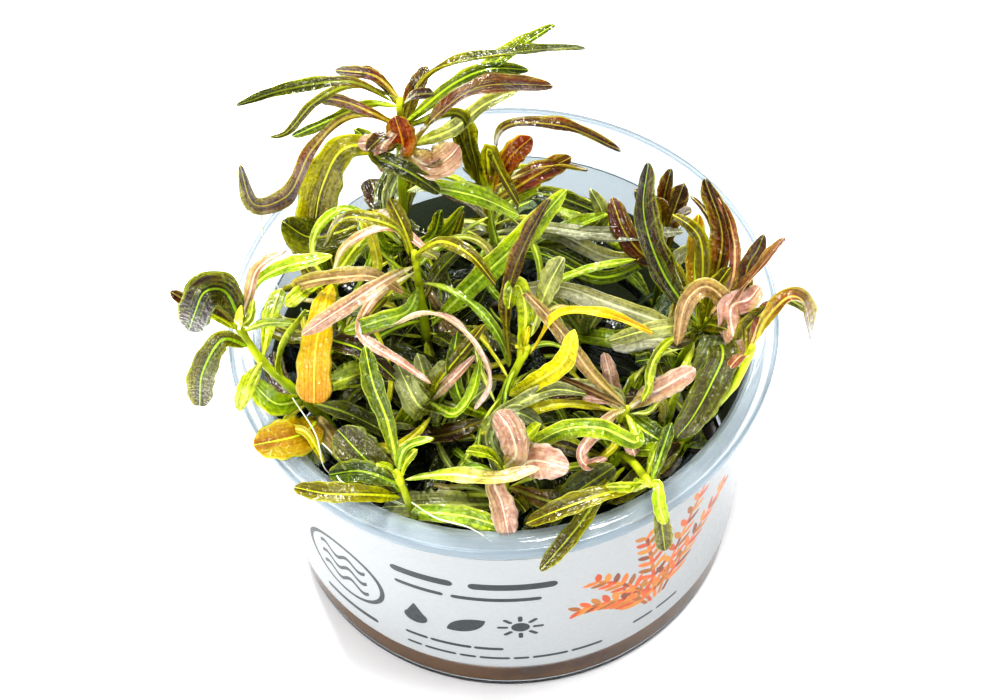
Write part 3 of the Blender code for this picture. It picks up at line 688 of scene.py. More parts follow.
def lowRoutes(route):  # opposite leaves that turn a quarter from pair to pair, drooping towards their tips
    rule = undergrowth
    turn = rng.uniform(0.0, 360.0)
    for distance in np.arange(rule["below"], pathLength(route) - rule["lowest"], rule["spacing"]):
        node = pointFromTip(route, distance)
        for side in range(2):
            aim = turn + 180.0 * side
            out = heading(aim + rng.uniform(-rule["swing"], rule["swing"]))
            length, steepness = rng.uniform(*rule["length"]), rng.uniform(*rule["rise"])
            tipOut = heading(aim + rng.uniform(-rule["tipSwing"], rule["tipSwing"]))
            path = bentPath(node + out * rule["inset"], length, out, tipOut, steepness, rule)
            # Leaves low in the cup take the dark look: painted shade
            look = "shade" if node[2] < rule["deep"] else rng.choice(rule["looks"])
            yield path, rng.uniform(*rule["width"]), look
        turn += rule["turn"]


def canopyRoutes(route):
    # Opposite leaves. Along each one its pitch falls and its heading turns, faster towards the tip,
    # and the path is the running sum of those directions.
    rule, count = canopy, canopy["steps"]
    turn = rng.uniform(0.0, 360.0)
    t = np.linspace(0.0, 1.0, count)[:, None]
    for distance in np.arange(rule["first"], min(rule["last"], pathLength(route) - rule["lowest"]),
                              rule["spacing"]):
        node = pointFromTip(route, distance)
        for side in range(2):
            length, rise, droop, curl = (rng.uniform(*rule[key]) for key in ("length", "rise", "droop", "curl"))
            pitch = np.radians(rise - droop * t ** 1.4)
            aim = np.radians(turn + 180.0 * side + rng.uniform(-rule["swing"], rule["swing"]) + curl * t ** 2)
            steps = np.hstack([np.cos(pitch) * np.cos(aim), np.cos(pitch) * np.sin(aim), np.sin(pitch)])
            steps = steps * length / count
            path = node + np.cumsum(steps, axis=0) - steps[0] * 0.8
            scale = np.minimum(1.0, rule["reach"] / np.maximum(np.hypot(path[:, 0], path[:, 1]), 1e-6))
            path *= np.stack([scale, scale, np.ones(count)], axis=1)
            path[:, 2] = np.minimum(path[:, 2], rule["top"])
            yield path, length / rng.uniform(*rule["slender"]), rng.choice(rule["looks"])
        turn += rule["turn"]


# Small leaves seen in the photo, by the stem that carries them: route from the stem to the tip,
# width, look, fold, roll, twist
smallSeen = {
    "front_right": [
        ([(24, -41, 66), (25, -43, 69), (25, -46, 68), (26, -48, 64)], 2.6, "lime", 0.7, 0, 0),
        ([(24, -41, 66), (21, -43, 69), (16, -44, 71)], 2.2, "spring", 0.7, 20, 0),
        ([(24, -41, 66), (26, -38, 71), (28, -35, 76)], 2.6, "forest", 0.7, 20, 0),
    ],
    "back_left": [
        ([(-15, 14, 90), (-16, 14, 96), (-17, 15, 102)], 5.6, "rust", 0.5, 0, 0),
        ([(-17, 16, 92), (-14, 14, 91), (-11, 13, 90), (-8, 14, 91), (-6, 15, 93)], 7.0, "blush", 0.9, 10, 10),
        ([(-16, 16, 92), (-20, 15, 95), (-24, 15, 95)], 3.4, "blush", 0.6, 0, 0),
        ([(-16, 16, 96), (-20, 17, 100), (-26, 19, 102), (-31, 22, 100)], 2.6, "smoke", 1.1, 0, 30),
        ([(-16, 16, 96), (-18, 13, 99), (-20, 14, 94), (-20, 14, 88)], 2.6, "blush", 1.0, 0, 30),
        ([(-16, 18, 103), (-24, 20, 105), (-31, 20, 101), (-37, 20, 93), (-40, 20, 92)], 2.0, "olive", 1.0, 0, 20),
        ([(-16, 18, 101), (-21, 19, 101), (-29, 19, 97), (-36, 20, 92)], 2.8, "forest", 0.9, 20, 10),
        ([(-16, 18, 104), (-20, 20, 107), (-27, 21, 108)], 2.4, "smoke", 0.7, 0, 0),
        ([(-15, 17, 96), (-6, 21, 103), (0, 21, 106), (7, 22, 104)], 3.0, "forest", 0.8, 20, 0),
        ([(-15, 17, 90), (-7, 18, 94), (-1, 20, 98), (5, 22, 99)], 3.4, "silver", 0.8, 0, 20),
        ([(-15, 17, 96), (-6, 18, 98), (-4, 18, 88), (-3, 16, 79)], 3.2, "olive", 0.7, 0, 60),
        ([(-16, 16, 92), (-21, 14, 93), (-15, 11, 91), (-10, 10, 86)], 3.8, "duskGreen", 0.8, 0, 10),
        ([(-17, 17, 72), (-26, 13, 74), (-34, 11, 74), (-39, 12, 78)], 7.0, "darkOlive", 0.4, 0, 0),
        ([(-17, 18, 60), (-12, 13, 70), (-10, 11, 80)], 2.8, "forest", 0.8, 0, 20),
        ([(-17, 18, 58), (-9, 13, 68), (-6, 12, 78)], 2.2, "olive", 0.9, 0, 0),
        ([(-17, 18, 60), (-21, 11, 70), (-22, 8, 80)], 3.0, "lime", 0.8, 0, 10),
        ([(-17, 18, 62), (-22, 15, 68), (-26, 14, 72)], 3.0, "duskGreen", 0.8, 0, 0),
        ([(-17, 18, 62), (-11, 16, 66), (-6, 18, 72)], 2.6, "spring", 0.8, 0, 0),
    ],
    "back": [
        ([(-1, 17, 80), (-1, 18, 88), (1, 17, 82), (4, 14, 76)], 2.8, "olive", 0.8, 0, 40),
        ([(-1, 17, 76), (3, 20, 83), (7, 21, 87)], 4.6, "rust", 0.6, 0, 0),
        ([(0, 17, 74), (8, 19, 79), (14, 20, 82)], 4.0, "maroon", 0.7, 0, 0),
        ([(0, 16, 68), (5, 18, 74), (10, 17, 75), (19, 16, 70)], 3.4, "duskGreen", 0.8, 0, 20),
        ([(0, 16, 64), (8, 12, 72), (18, 9, 73), (34, 10, 71)], 3.0, "pearl", 0.7, 0, 10),
        ([(0, 15, 62), (12, 12, 68), (19, 13, 73), (17, 15, 79)], 3.6, "silver", 0.6, 0, 0),
    ],
    "young_back_right": [
        ([(30, 13, 64), (27, 7, 68), (23, 9, 73), (21, 15, 76)], 4.6, "maroon", 0.6, 0, 10),
        ([(30, 13, 60), (20, 9, 66), (11, 12, 70), (4, 14, 70)], 3.6, "pearl", 0.9, 0, 20),
        ([(30, 13, 60), (27, 8, 66), (30, 9, 72)], 4.0, "plum", 0.6, 0, 0),
        ([(30, 13, 62), (34, 7, 66), (38, 8, 67)], 4.4, "duskGreen", 0.7, 0, 0),
        ([(30, 13, 60), (18, 6, 64), (8, 9, 68), (2, 12, 66)], 3.2, "forest", 0.8, 0, 20),
    ],
    "young_right": [
        ([(15, -2, 56), (22, -6, 61), (27, -4, 64)], 4.0, "duskGreen", 0.7, 0, 20),
        ([(15, -2, 56), (10, 2, 62), (3, 2, 66)], 3.4, "silver", 0.7, 0, 20),
    ],
    "mid_left": [
        ([(-30, -2, 76), (-33, 1, 80), (-32, 4, 85), (-27, 6, 88), (-22, 4, 86), (-17, 1, 83)],
         2.2, "lime", 1.0, 0, 60),
        ([(-30, -2, 79), (-22, -3, 81), (-22, 1, 84), (-24, 5, 88)], 2.6, "lemon", 0.9, 0, 20),
        ([(-30, -2, 70), (-31, -13, 76), (-25, -17, 77), (-19, -22, 74)], 4.4, "plum", 0.7, 0, 20),
        ([(-30, -2, 78), (-36, -5, 81), (-30, -7, 85), (-22, -8, 86), (-17, -9, 82)], 3.8, "withered", 0.9, 0, 40),
        ([(-30, -2, 79), (-27, 0, 85), (-19, 2, 87), (-12, -2, 84)], 2.4, "blush", 1.0, 0, 40),
    ],
    "centre_left": [
        ([(-15, -3, 80), (-23, -12, 84), (-25, -16, 81), (-18, -21, 78), (-13, -23, 74)], 2.2, "blush", 0.9, 0, 30),
        ([(-15, -3, 76), (-17, -13, 82), (-21, -15, 83), (-28, -15, 80)], 3.2, "lime", 0.8, 0, 10),
        ([(-15, -2, 84), (-10, -4, 90), (-5, -9, 92), (-1, -12, 87)], 2.8, "olive", 0.9, 0, 40),
        ([(-14, -3, 58), (-6, 6, 64), (0, 8, 73)], 2.6, "forest", 0.8, 0, 20),
        ([(-14, -3, 62), (-17, 3, 68), (-18, 4, 77)], 2.4, "duskGreen", 0.8, 0, 0),
    ],
    "centre": [
        ([(2, -19, 73), (4, -15, 82), (3, -13, 88), (2, -14, 89), (1, -15, 84)], 3.4, "spring", 0.4, 0, 0),
        ([(4, -18, 75), (8, -9, 81), (14, -6, 82), (24, -4, 82)], 1.6, "lime", 1.0, 0, 0),
        ([(-2, -21, 63), (-4, -29, 69), (2, -28, 74), (8, -27, 76), (14, -27, 74)], 3.2, "silver", 0.9, 0, 40),
        ([(-2, -20, 60), (-8, -24, 70), (-9, -21, 77), (-8, -16, 80)], 3.2, "forest", 0.8, 0, 20),
    ],
    "front_inner": [
        ([(21, -26, 68), (15, -24, 76), (9, -18, 83), (3, -12, 87)], 3.2, "withered", 0.9, 0, 20),
        ([(21, -26, 68), (13, -25, 74), (6, -22, 76)], 2.2, "rosewood", 1.2, 0, 60),
        ([(21, -26, 67), (17, -31, 72), (12, -36, 70), (13, -37, 67), (17, -35, 66)], 3.2, "blush", 0.8, 20, 20),
        ([(20, -24, 60), (20, -22, 66), (13, -21, 69), (6, -22, 69), (-1, -24, 65)], 2.8, "pearl", 0.8, 0, 20),
        ([(20, -27, 66), (22, -34, 69), (16, -34, 74), (10, -33, 73), (3, -33, 68)], 4.0, "lime", 0.8, 0, 20),
        ([(21, -26, 67), (27, -25, 72), (33, -24, 76)], 4.4, "blush", 0.6, 0, 0),
        ([(20, -25, 64), (24, -30, 66), (28, -32, 64)], 5.0, "forest", 0.6, 0, 20),
    ],
    "young_front_left": [
        ([(-14, -22, 66), (-11, -22, 75), (-6, -19, 80), (-3, -17, 83)], 3.0, "olive", 1.1, 0, 40),
        ([(-14, -22, 66), (-9, -23, 76), (-5, -20, 78)], 2.4, "blush", 0.9, 0, 20),
        ([(-13, -20, 62), (-16, -25, 72), (-19, -19, 76)], 5.0, "silver", 0.5, 0, 20),
        ([(-14, -23, 66), (-9, -28, 72), (-6, -26, 75), (-4, -21, 79)], 2.8, "lime", 0.9, 0, 60),
    ],
    "front": [
        ([(1, -37, 68), (1, -38, 74), (0, -35, 77), (-2, -32, 78)], 5.4, "blush", 0.6, 0, 0),
        ([(-1, -37, 66), (-3, -41, 69), (-2, -43, 66), (-1, -47, 61)], 5.2, "blush", 0.9, 0, 0),
        ([(-1, -36, 60), (8, -39, 59), (13, -39, 64), (18, -38, 68)], 6.0, "darkOlive", 0.5, 0, 0),
        ([(-1, -37, 66), (-3, -33, 72), (1, -30, 74), (6, -31, 71)], 3.4, "silver", 0.8, 0, 30),
    ],
    "left": [
        ([(-47, -11, 79), (-51, -9, 82), (-55, -8, 82), (-58, -7, 84)], 3.2, "bronze", 0.8, 0, 0),
        ([(-46, -13, 79), (-44, -10, 85), (-42, -7, 89), (-37, -4, 90)], 2.6, "blush", 1.2, 0, 30),
        ([(-36, -18, 63), (-40, -24, 65), (-36, -26, 66), (-33, -29, 60)], 1.8, "lemon", 0.8, 0, 0),
        ([(-36, -18, 64), (-41, -21, 68), (-45, -18, 71)], 5.0, "lime", 0.8, 0, 0),
        ([(-46, -11, 78), (-46, -14, 83), (-45, -14, 88)], 2.0, "lemon", 0.9, 0, 0),
        ([(-46, -11, 78), (-44, -13, 83), (-43, -12, 87)], 2.0, "spring", 0.9, 0, 0),
    ],
    "front_left": [
        ([(-18, -36, 54), (-16, -41, 61), (-8, -43, 62), (-2, -45, 61)], 3.8, "lime", 0.8, 0, 0),
        ([(-20, -36, 63), (-26, -35, 66), (-32, -34, 64)], 4.6, "forest", 0.7, 0, 0),
        ([(-20, -36, 66), (-18, -34, 71), (-13, -33, 72)], 2.2, "lime", 1.0, 0, 40),
    ],
    "right": [
        ([(41, -23, 73), (39, -13, 80), (35, -13, 85), (32, -15, 84), (30, -19, 76)], 4.0, "withered", 0.7, 0, 20),
        ([(41, -23, 73), (40, -14, 80), (43, -14, 82), (45, -12, 83)], 5.0, "blush", 0.4, 0, 0),
        ([(42, -22, 76), (43, -9, 84), (45, -7, 87), (46, -6, 90)], 3.2, "bronze", 0.8, 0, 0),
        ([(43, -22, 79), (48, -19, 88), (52, -19, 85), (53, -18, 82)], 1.8, "silver", 0.9, 0, 0),
        ([(37, -26, 67), (40, -22, 72), (42, -18, 78), (46, -18, 85)], 3.6, "olive", 0.9, 0, 0),
    ],
    "right_inner": [
        ([(36, -12, 74), (40, -10, 80), (41, -7, 86), (40, -4, 92), (38, -3, 97)], 2.6, "rosewood", 1.0, 0, 0),
        ([(36, -11, 72), (38, 0, 84), (36, 3, 87), (34, 5, 88)], 1.8, "bronze", 0.9, 0, 0),
        ([(35, -11, 70), (36, 1, 79), (34, 2, 83), (31, 4, 84)], 3.2, "olive", 0.8, 0, 0),
        ([(36, -12, 72), (38, -21, 76), (36, -24, 72), (32, -29, 68), (29, -31, 65)], 6.6, "glassy", 0.4, 0, 20),
        ([(35, -11, 69), (31, -16, 78), (25, -18, 80), (18, -17, 76)], 3.6, "silver", 0.7, 0, 30),
        ([(35, -11, 68), (35, 1, 74), (36, 7, 80)], 4.2, "gold", 0.8, 0, 0),
        ([(35, -11, 68), (38, -3, 71), (40, 1, 74)], 4.0, "lime", 0.6, 0, 0),
        ([(34, -10, 66), (37, -6, 70), (41, -4, 72)], 4.0, "lemon", 0.6, 0, 0),
        ([(35, -11, 68), (31, 2, 71), (34, 4, 73), (39, 4, 72)], 2.8, "pearl", 0.7, 0, 0),
        ([(34, -10, 64), (30, -12, 68), (25, -12, 69), (19, -12, 67)], 4.0, "pearl", 0.9, 0, 20),
        ([(34, -10, 66), (31, -12, 68), (32, -9, 73), (35, -6, 77)], 5.0, "withered", 0.6, 0, 0),
    ],
}


def drawnShape(rule):  # fold, roll and twist drawn from the rule's ranges
    fold, roll, twist = (rng.uniform(*rule[key]) if rule[key] else 0.0 for key in ("fold", "roll", "twist"))
    return leafShape(fold, roll, twist, rule["wave"])


def nodeName(stemName):  # the CAD node of a stem
    return stemName.replace("young_", "young_shoot_") if stemName.startswith("young_") else "stem_" + stemName


def makeStem(name):
    radius, points = stems[name]
    length = pathLength(smoothPath(points, 200))
    coarse = smoothPath(points, max(2, round(length / stemForm["coarseStep"]) + 1))
    route = smoothPath(points, stemForm["rows"])
    # Radius from the tip down: it thickens, and swells at each node by a bell curve
    distance = np.linspace(pathLength(route), 0.0, len(route))
    spacing, start, spread = stemForm["nodes"]
    atTip, added, reach = stemForm["thin"]
    swelling = stemForm["swelling"] * np.exp(-((distance % spacing - start) / spread) ** 2)
    radii = radius * (atTip + added * np.minimum(distance / reach, 1.0)) * (stemForm["between"] + swelling)
    bunch = Bunch()
    addTube(bunch, route, radii, "stem")
    for path, width, look in pairRoutes(name, coarse):
        addLeaf(bunch, path, width, look, drawnShape(pairRule), pairRule["grid"])
    for path, width, look, fold, roll, twist in smallSeen.get(name, []):
        path = np.array(path, float)
        path[0] = route[np.argmin(np.linalg.norm(route - path[0], axis=1))]
        addLeaf(bunch, path, width, look, leafShape(fold, roll, twist, seenRule["wave"], facing=True),
                seenRule["grid"])
    if name in canopy["stems"]:
        for path, width, look in canopyRoutes(route):
            shape = drawnShape(canopy)
            addLeaf(bunch, insideCup(path, wallMargin), width, look, shape, canopy["grid"], pressed=True)
    for path, width, look in lowRoutes(route):
        path = insideCup(np.minimum(path, (99.0, 99.0, undergrowth["top"])), wallMargin)
        addLeaf(bunch, path, width, look, drawnShape(undergrowth), undergrowth["grid"], pressed=True)
    bunch.piece("fine_" + nodeName(name), "stem", [nodeName(name)])
    return coarse


# Long leaves by stem: height of the foot, route points to the tip, width, look, fold, roll, twist.
# A roll of None is for a blade that keeps its face to the front.
longLeaves = {
    "back_left": [
        (102, [(-24, 18, 108), (-35, 19, 106), (-45, 21, 100)], 3.2, "darkOlive", 1.5, 25, 10),
        (98, [(-25, 17, 100), (-32, 17, 92), (-38, 16, 80), (-44, 17, 77), (-46, 21, 84)], 3.8, "smoke", 0.9, 20, 25),
        (101, [(-9, 19, 109), (4, 20, 111), (17, 23, 108)], 3.9, "darkOlive", 1.0, 20, 10),
        (96, [(-2, 22, 104), (12, 27, 110)], 4.2, "forest", 0.7, 0, 10),
        (89, [(-9, 15, 102), (-2, 16, 107), (11, 18, 104)], 6.2, "maroon", 0.6, 15, -15),
        (90, [(-26, 16, 93), (-31, 15, 84), (-34, 14, 70)], 8.2, "olive", 0.6, 30, 40),
        (79, [(-11, 12, 85), (-3, 10, 84), (4, 10, 78)], 5.2, "lime", 0.6, 0, 10),
    ],
    "back": [
        (80, [(2, 20, 91), (12, 19, 92), (23, 19, 84)], 3.4, "bronze", 0.9, 25, -10),
        (79, [(9, 18, 82), (17, 20, 78)], 3.4, "maroon", 0.8, 20, 10),
        (78, [(-5, 18, 88), (-7, 20, 96)], 5.0, "olive", 0.8, 30, 0),
        (58, [(9, 13, 68), (20, 11, 76)], 5.0, "lime", 0.5, 0, 10),
    ],
    "left": [
        (68, [(-39, -18, 79), (-34, -14, 86)], 3.4, "forest", 0.8, 10, 10),
        (77, [(-43, -7, 84), (-39, -6, 87), (-29, -5, 89)], 3.2, "lime", 0.8, 0, 10),
        (78, [(-48, -10, 87), (-51, -13, 91), (-53, -14, 87), (-55, -13, 80)], 7.0, "plum", 0.5, None, 0),
        (75, [(-49, -16, 81), (-53, -18, 75), (-55, -18, 64)], 5.4, "glassy", 0.6, None, 10),
        (59, [(-37, -26, 65), (-45, -29, 67)], 7.8, "gold", 0.3, None, 0),
        (63, [(-28, -23, 66), (-20, -26, 62)], 4.6, "duskGreen", 0.6, 0, 15),
    ],
    "front_left": [
        (66, [(-21, -30, 74), (-23, -26, 80), (-24, -21, 84)], 4.2, "forest", 0.7, 20, 0),
        (61, [(-25, -40, 66), (-32, -40, 67), (-38, -37, 65)], 4.6, "olive", 0.7, 0, 10),
        (65, [(-11, -40, 71), (-2, -42, 72), (5, -41, 73)], 3.6, "greenBlush", 0.7, 0, 10),
        (61, [(-25, -33, 66), (-30, -28, 69)], 8.0, "glassy", 0.3, None, 0),
    ],
    "centre": [
        (67, [(5, -25, 76), (10, -26, 83), (12, -25, 91)], 4.4, "lemon", 0.8, None, 10),
        (76, [(10, -18, 86), (17, -20, 88), (26, -19, 80)], 2.6, "amber", 1.1, 0, 20),
        (72, [(1, -14, 86), (5, -12, 100), (9, -10, 108)], 4.2, "bronze", 1.1, 20, 10),
        (77, [(8, -13, 87), (11, -12, 94)], 4.8, "silver", 0.5, 0, 10),
    ],
    "right": [
        (79, [(45, -21, 85), (49, -20, 90), (51, -20, 89), (53, -22, 80)], 4.6, "ashTip", 1.0, None, 65),
    ],
    "front_right": [
        (66, [(17, -44, 69), (9, -46, 68), (2, -47, 65)], 4.4, "olive", 0.6, 0, 10),
        (63, [(16, -41, 66), (11, -48, 65), (4, -53, 59)], 3.6, "olive", 0.7, 0, 10),
        (66, [(25, -46, 66), (26, -49, 57)], 3.8, "olive", 0.8, 0, 0),
    ],
    "front": [
        (66, [(4, -38, 71), (10, -40, 71)], 6.6, "blush", 0.3, None, 0),
    ],
    "centre_left": [
        (84, [(-18, -2, 92), (-26, 0, 93), (-31, 1, 84)], 3.0, "olive", 0.9, 10, 0),
        (82, [(-20, -11, 89), (-28, -16, 88), (-35, -18, 84)], 3.6, "blush", 1.2, None, 10),
        (64, [(-6, -5, 77), (4, -6, 92), (12, -5, 104)], 5.0, "lime", 0.6, None, 10),
    ],
    "right_inner": [
        (71, [(28, -8, 84), (25, -4, 96), (26, 0, 104)], 6.4, "plum", 0.5, 0, 10),
        (68, [(21, -10, 76), (10, -6, 78), (1, -4, 75)], 6.0, "pearl", 1.3, None, 30),
        (72, [(39, -5, 88), (36, -1, 100)], 4.8, "bronze", 0.5, 20, 0),
        (73, [(43, -13, 86), (49, -11, 95)], 4.6, "rosewood", 0.5, 10, 0),
        (68, [(37, -18, 76), (33, -22, 70)], 4.6, "silver", 0.4, 0, 10),
    ],
    "front_inner": [
        (66, [(9, -28, 73), (0, -29, 71), (-5, -30, 68)], 2.6, "lemon", 1.0, 0, 20),
    ],
    "mid_left": [
        (78, [(-31, -11, 83), (-33, -18, 79), (-34, -23, 70)], 6.6, "amber", 0.2, None, 0),
        (66, [(-29, -11, 72), (-20, -15, 81), (-12, -15, 84), (-6, -19, 82), (-3, -24, 76), (-6, -27, 71)],
         3.2, "blush", 0.8, 0, 20),
    ],
}

wideTips = {("mid_left", 1): 0.88, ("left", 3): 0.5, ("front", 1): 0.5}   # shares of the length


def leafFoot(route, height, radius, toward):  # just outside the stem, on the side that the leaf leaves by
    if height >= route[-1][2]:
        away = np.array(toward, float) - route[-1]
        return route[-1] + away / np.linalg.norm(away) * (radius + gap)
    rising = np.maximum.accumulate(route[:, 2])
    centre = np.array([np.interp(height, rising, route[:, axis]) for axis in range(3)])
    nearest = int(np.argmin(np.linalg.norm(route - centre, axis=1)))
    direction = route[min(nearest + 1, len(route) - 1)] - route[max(nearest - 1, 0)]
    direction /= np.linalg.norm(direction)
    away = np.array(toward, float) - centre
    away -= direction * (away @ direction)
    return centre + away / np.linalg.norm(away) * radius * 0.7


def makeLongLeaves(name, route):
    for number, (height, points, width, look, fold, roll, twist) in enumerate(longLeaves.get(name, []), start=1):
        foot = leafFoot(route, height, stems[name][0], points[0])
        shape = leafShape(fold, roll or 0.0, twist, longRule["wave"], roll is None,
                          wideTips.get((name, number)))
        bunch = Bunch()
        addLeaf(bunch, [foot] + points, width * longRule["narrower"], look, shape, longRule["grid"])
        bunch.piece(f"fine_leaf_{name}_{number}", "leaf", [f"leaf_{name}_{number}"])


# Aerial roots: thin white threads, as route points
roots = {
    "radius": 0.16, "thinTo": 0.6, "rows": 60, "ring": 8,
    "routes": [
        [(-43, 17, 77), (-43, 14, 72), (-42, 10, 67), (-40, 5, 62)],
        [(-38, -20, 68), (-34, -27, 66), (-33, -31, 62), (-30, -30, 55)],
        [(-33, -28, 65), (-28, -33, 63), (-24, -36, 60), (-20, -36, 56)],
        [(-18, -38, 60), (-13, -45, 65), (-8, -47, 65), (-4, -47, 60)],
        [(-31, -33, 63), (-29, -38, 67), (-24, -39, 65), (-19, -38, 59)],
    ],
}


def makeRoots():
    bunch = Bunch()
    radii = roots["radius"] * np.linspace(1.0, roots["thinTo"], roots["rows"])
    for points in roots["routes"]:
        addTube(bunch, smoothPath(points, roots["rows"]), radii, "root", roots["ring"])
    bunch.piece("aerial_roots", "stem")


# Cup, label and gel are surfaces of revolution

def arcPoints(centre, radius, start, stop, count):  # r, z along a circular arc, angles in degrees
    angle = np.radians(np.linspace(start, stop, count))
    return list(zip(centre[0] + radius * np.cos(angle), centre[1] + radius * np.sin(angle)))


def turned(angle, profile):  # the profile r, z at each angle round the axis, from the front
    radius, height = np.array(profile, float).T
    return np.stack(np.broadcast_arrays(radius * np.sin(angle), -radius * np.cos(angle), height), axis=-1)


def turnedSolid(profile, segments, poles):  # rings of the profile, closed by a pole on the axis at each end
    angle = np.linspace(0.0, 2 * math.pi, segments, endpoint=False)[::-1, None]
    return ringMesh(turned(angle, profile).transpose(1, 0, 2), [(0.0, 0.0, height) for height in poles])


def plasticMaterial(name, clearness, colour):
    # Moulded polypropylene: a blue-white haze, denser where the wall is thick, and soft reflections
    material, tree, shader = newMaterial(name, {
        "Base Color": linear(colour), "Transmission Weight": clearness, "IOR": 1.42, "Roughness": 0.08,
        "Specular IOR Level": 0.4,
    })
    place = addNode(tree, "ShaderNodeTexCoord").outputs["Object"]
    ripple = addNode(tree, "ShaderNodeTexNoise", {"Vector": place, "Scale": 90.0, "Detail": 2.0}).outputs["Fac"]
    bump = addNode(tree, "ShaderNodeBump", {"Height": ripple, "Strength": 0.06, "Distance": 0.0008}).outputs[0]
    tree.links.new(bump, shader.inputs["Normal"])
    return material


def makeCup():
    # Profile: floor and wall inside, the flange's top, its rolled edge and underside, wall and corner outside
    lip, wall, corner = cup["height"] - cup["lip"], cup["wall"], cup["corner"]
    inner = wallRadius(lip) - wall
    footCentre = (wallRadius(cup["cornerTop"]) - wall - corner, cup["cornerTop"])
    profile = [(footCentre[0], cup["floor"])]
    profile += arcPoints(footCentre, corner, -80, 0, 7)
    profile += [(wallRadius(z) - wall, z) for z in np.linspace(4.0, lip, 12)]
    profile += [(inner + past, z) for past, z in cup["mouthRoll"]] + cup["flangeTop"]
    profile += arcPoints(*cup["flangeRoll"], 70, 0, 5)
    profile += [(cup["rim"], z) for z in cup["flangeEdge"]] + cup["flangeUnder"]
    profile += [(wallRadius(z), z) for z in np.linspace(lip, 3.0, 12)]
    profile += arcPoints((cup["base"] - corner, corner), corner, 0, -90, 8)
    vertices, quads, fans = turnedSolid(profile, cup["segments"], (cup["floor"], 0.0))
    radius, height = (np.hypot(vertices[:, 0], vertices[:, 1])[quads].min(axis=1),
                      vertices[:, 2][quads].max(axis=1))
    looks = np.select([height < label["bottom"] + cup["clearPast"], radius > cup["edgeFrom"],
                       radius > cup["flangeFrom"]], [1, 3, 2], 0)
    addPiece("clear_cup", vertices, quads.tolist() + fans.tolist(),
             [plasticMaterial(*finish) for finish in cup["finishes"]],
             ["cup"], faceMaterial=np.concatenate([looks, np.ones(len(fans), int)]))


# Places in the print are mm of arc from the front, and heights
label = {
    "bottom": 9.9, "top": 52.0, "thickness": 0.3,
    "printFrom": -48.0, "printTo": 42.0,    # where the columns are close
    "step": 0.3, "plainColumns": 100,
    "paper": ("#9fa2a3", "#97999b"), "fibre": 0.8,      # mm
    "ink": "#20292b", "inkEdge": 0.07,                  # mm
    "warmInks": ((0.0, "#8c5418"), (0.35, "#bc7c20"), (0.7, "#cc5014"), (1.0, "#743814")),
    # the sleeve's back: a painted glow, and from this height down a dark olive painted shade with a faint glow
    "paintedShadeFrom": 43.0, "backPaintedGlow": ("#e2e2e0", 1.1), "paintedShadeGlow": ("#5c6428", 0.3),
}

emblem = {
    "ring": (-35.0, 28.5, 9.0, 0.5),        # arc, height, radius, half thickness
    "waves": (24.6, 28.5, 32.4), "waveRise": 1.1, "waveTurns": 1.1, "waveHalf": 5.6, "waveLine": 0.5,
    "drop": ((-19.4, 24.6), 2.3),           # centre, radius
    "leaf": ((-9.8, 25.8), 9.0, 4.2, 35.0),     # centre, length, width, degrees
    "sun": ((0.2, 26.0), 1.7, (2.6, 3.9), 0.42, 45.0),  # centre, radius, rays' ends, half width and spacing
}

# Plain rules in word-like lengths: left end, right end, height, half thickness
plainRules = [
    (-22.0, -12.5, 41.6, 1.1), (-7.6, 6.0, 41.6, 1.1), (-22.0, -14.0, 36.8, 0.62), (-11.4, 3.6, 36.8, 0.62),
    (-21.6, -18.0, 17.2, 0.5), (-16.6, -9.6, 17.2, 0.5), (-8.2, -3.6, 17.2, 0.5), (-21.6, -19.4, 13.4, 0.42),
    (-18.0, -12.6, 13.4, 0.42), (-11.2, -8.8, 13.4, 0.42), (-7.4, -2.4, 13.4, 0.42), (-1.0, 1.2, 13.4, 0.42),
    (2.6, 8.6, 13.4, 0.42), (10.0, 15.4, 13.4, 0.42), (-41.0, -29.0, 14.6, 0.7),
    (22.6, 26.4, 15.0, 0.4), (28.0, 32.6, 15.0, 0.4),
]

# Sprigs: lean, reach and place of the foot
sprigs = [
    (-0.95, 15.0, (25.0, 20.0)), (-0.5, 20.0, (26.0, 20.0)), (-0.1, 25.0, (27.0, 20.5)),
    (0.3, 28.0, (28.0, 21.0)), (0.7, 22.0, (29.0, 21.0)),
]
sprigForm = {
    "joints": 9, "stalk": 0.4, "leaf": (3.6, 3.8), "shrink": 0.05,  # leaf: mm out and forward; each is smaller
    "leafWidth": 0.62, "leafLeast": 0.05,
}


def stroke(a, z, start, stop, radiusAt):
    # Distance to a line from start to stop whose half width varies along it
    ax, az = stop[0] - start[0], stop[1] - start[1]
    share = np.clip(((a - start[0]) * ax + (z - start[1]) * az) / (ax * ax + az * az), 0.0, 1.0)
    distance = np.hypot(a - start[0] - share * ax, z - start[1] - share * az)
    return distance - radiusAt(share)


def dropShape(a, z, centre, radius):  # a circle with a point above it
    circle = np.hypot(a - centre[0], z - centre[1]) - radius
    point = stroke(a, z, centre, (centre[0], centre[1] + 2.4 * radius), lambda share: radius * (1.0 - share))
    return np.minimum(circle, point)


def lensShape(a, z, centre, length, width, degrees):  # where two equal circles overlap
    along = (a - centre[0]) * math.cos(math.radians(degrees)) + (z - centre[1]) * math.sin(math.radians(degrees))
    across = (z - centre[1]) * math.cos(math.radians(degrees)) - (a - centre[0]) * math.sin(math.radians(degrees))
    radius = (length ** 2 + width ** 2) / (4.0 * width)
    return np.hypot(along, np.abs(across) + radius - 0.5 * width) - radius


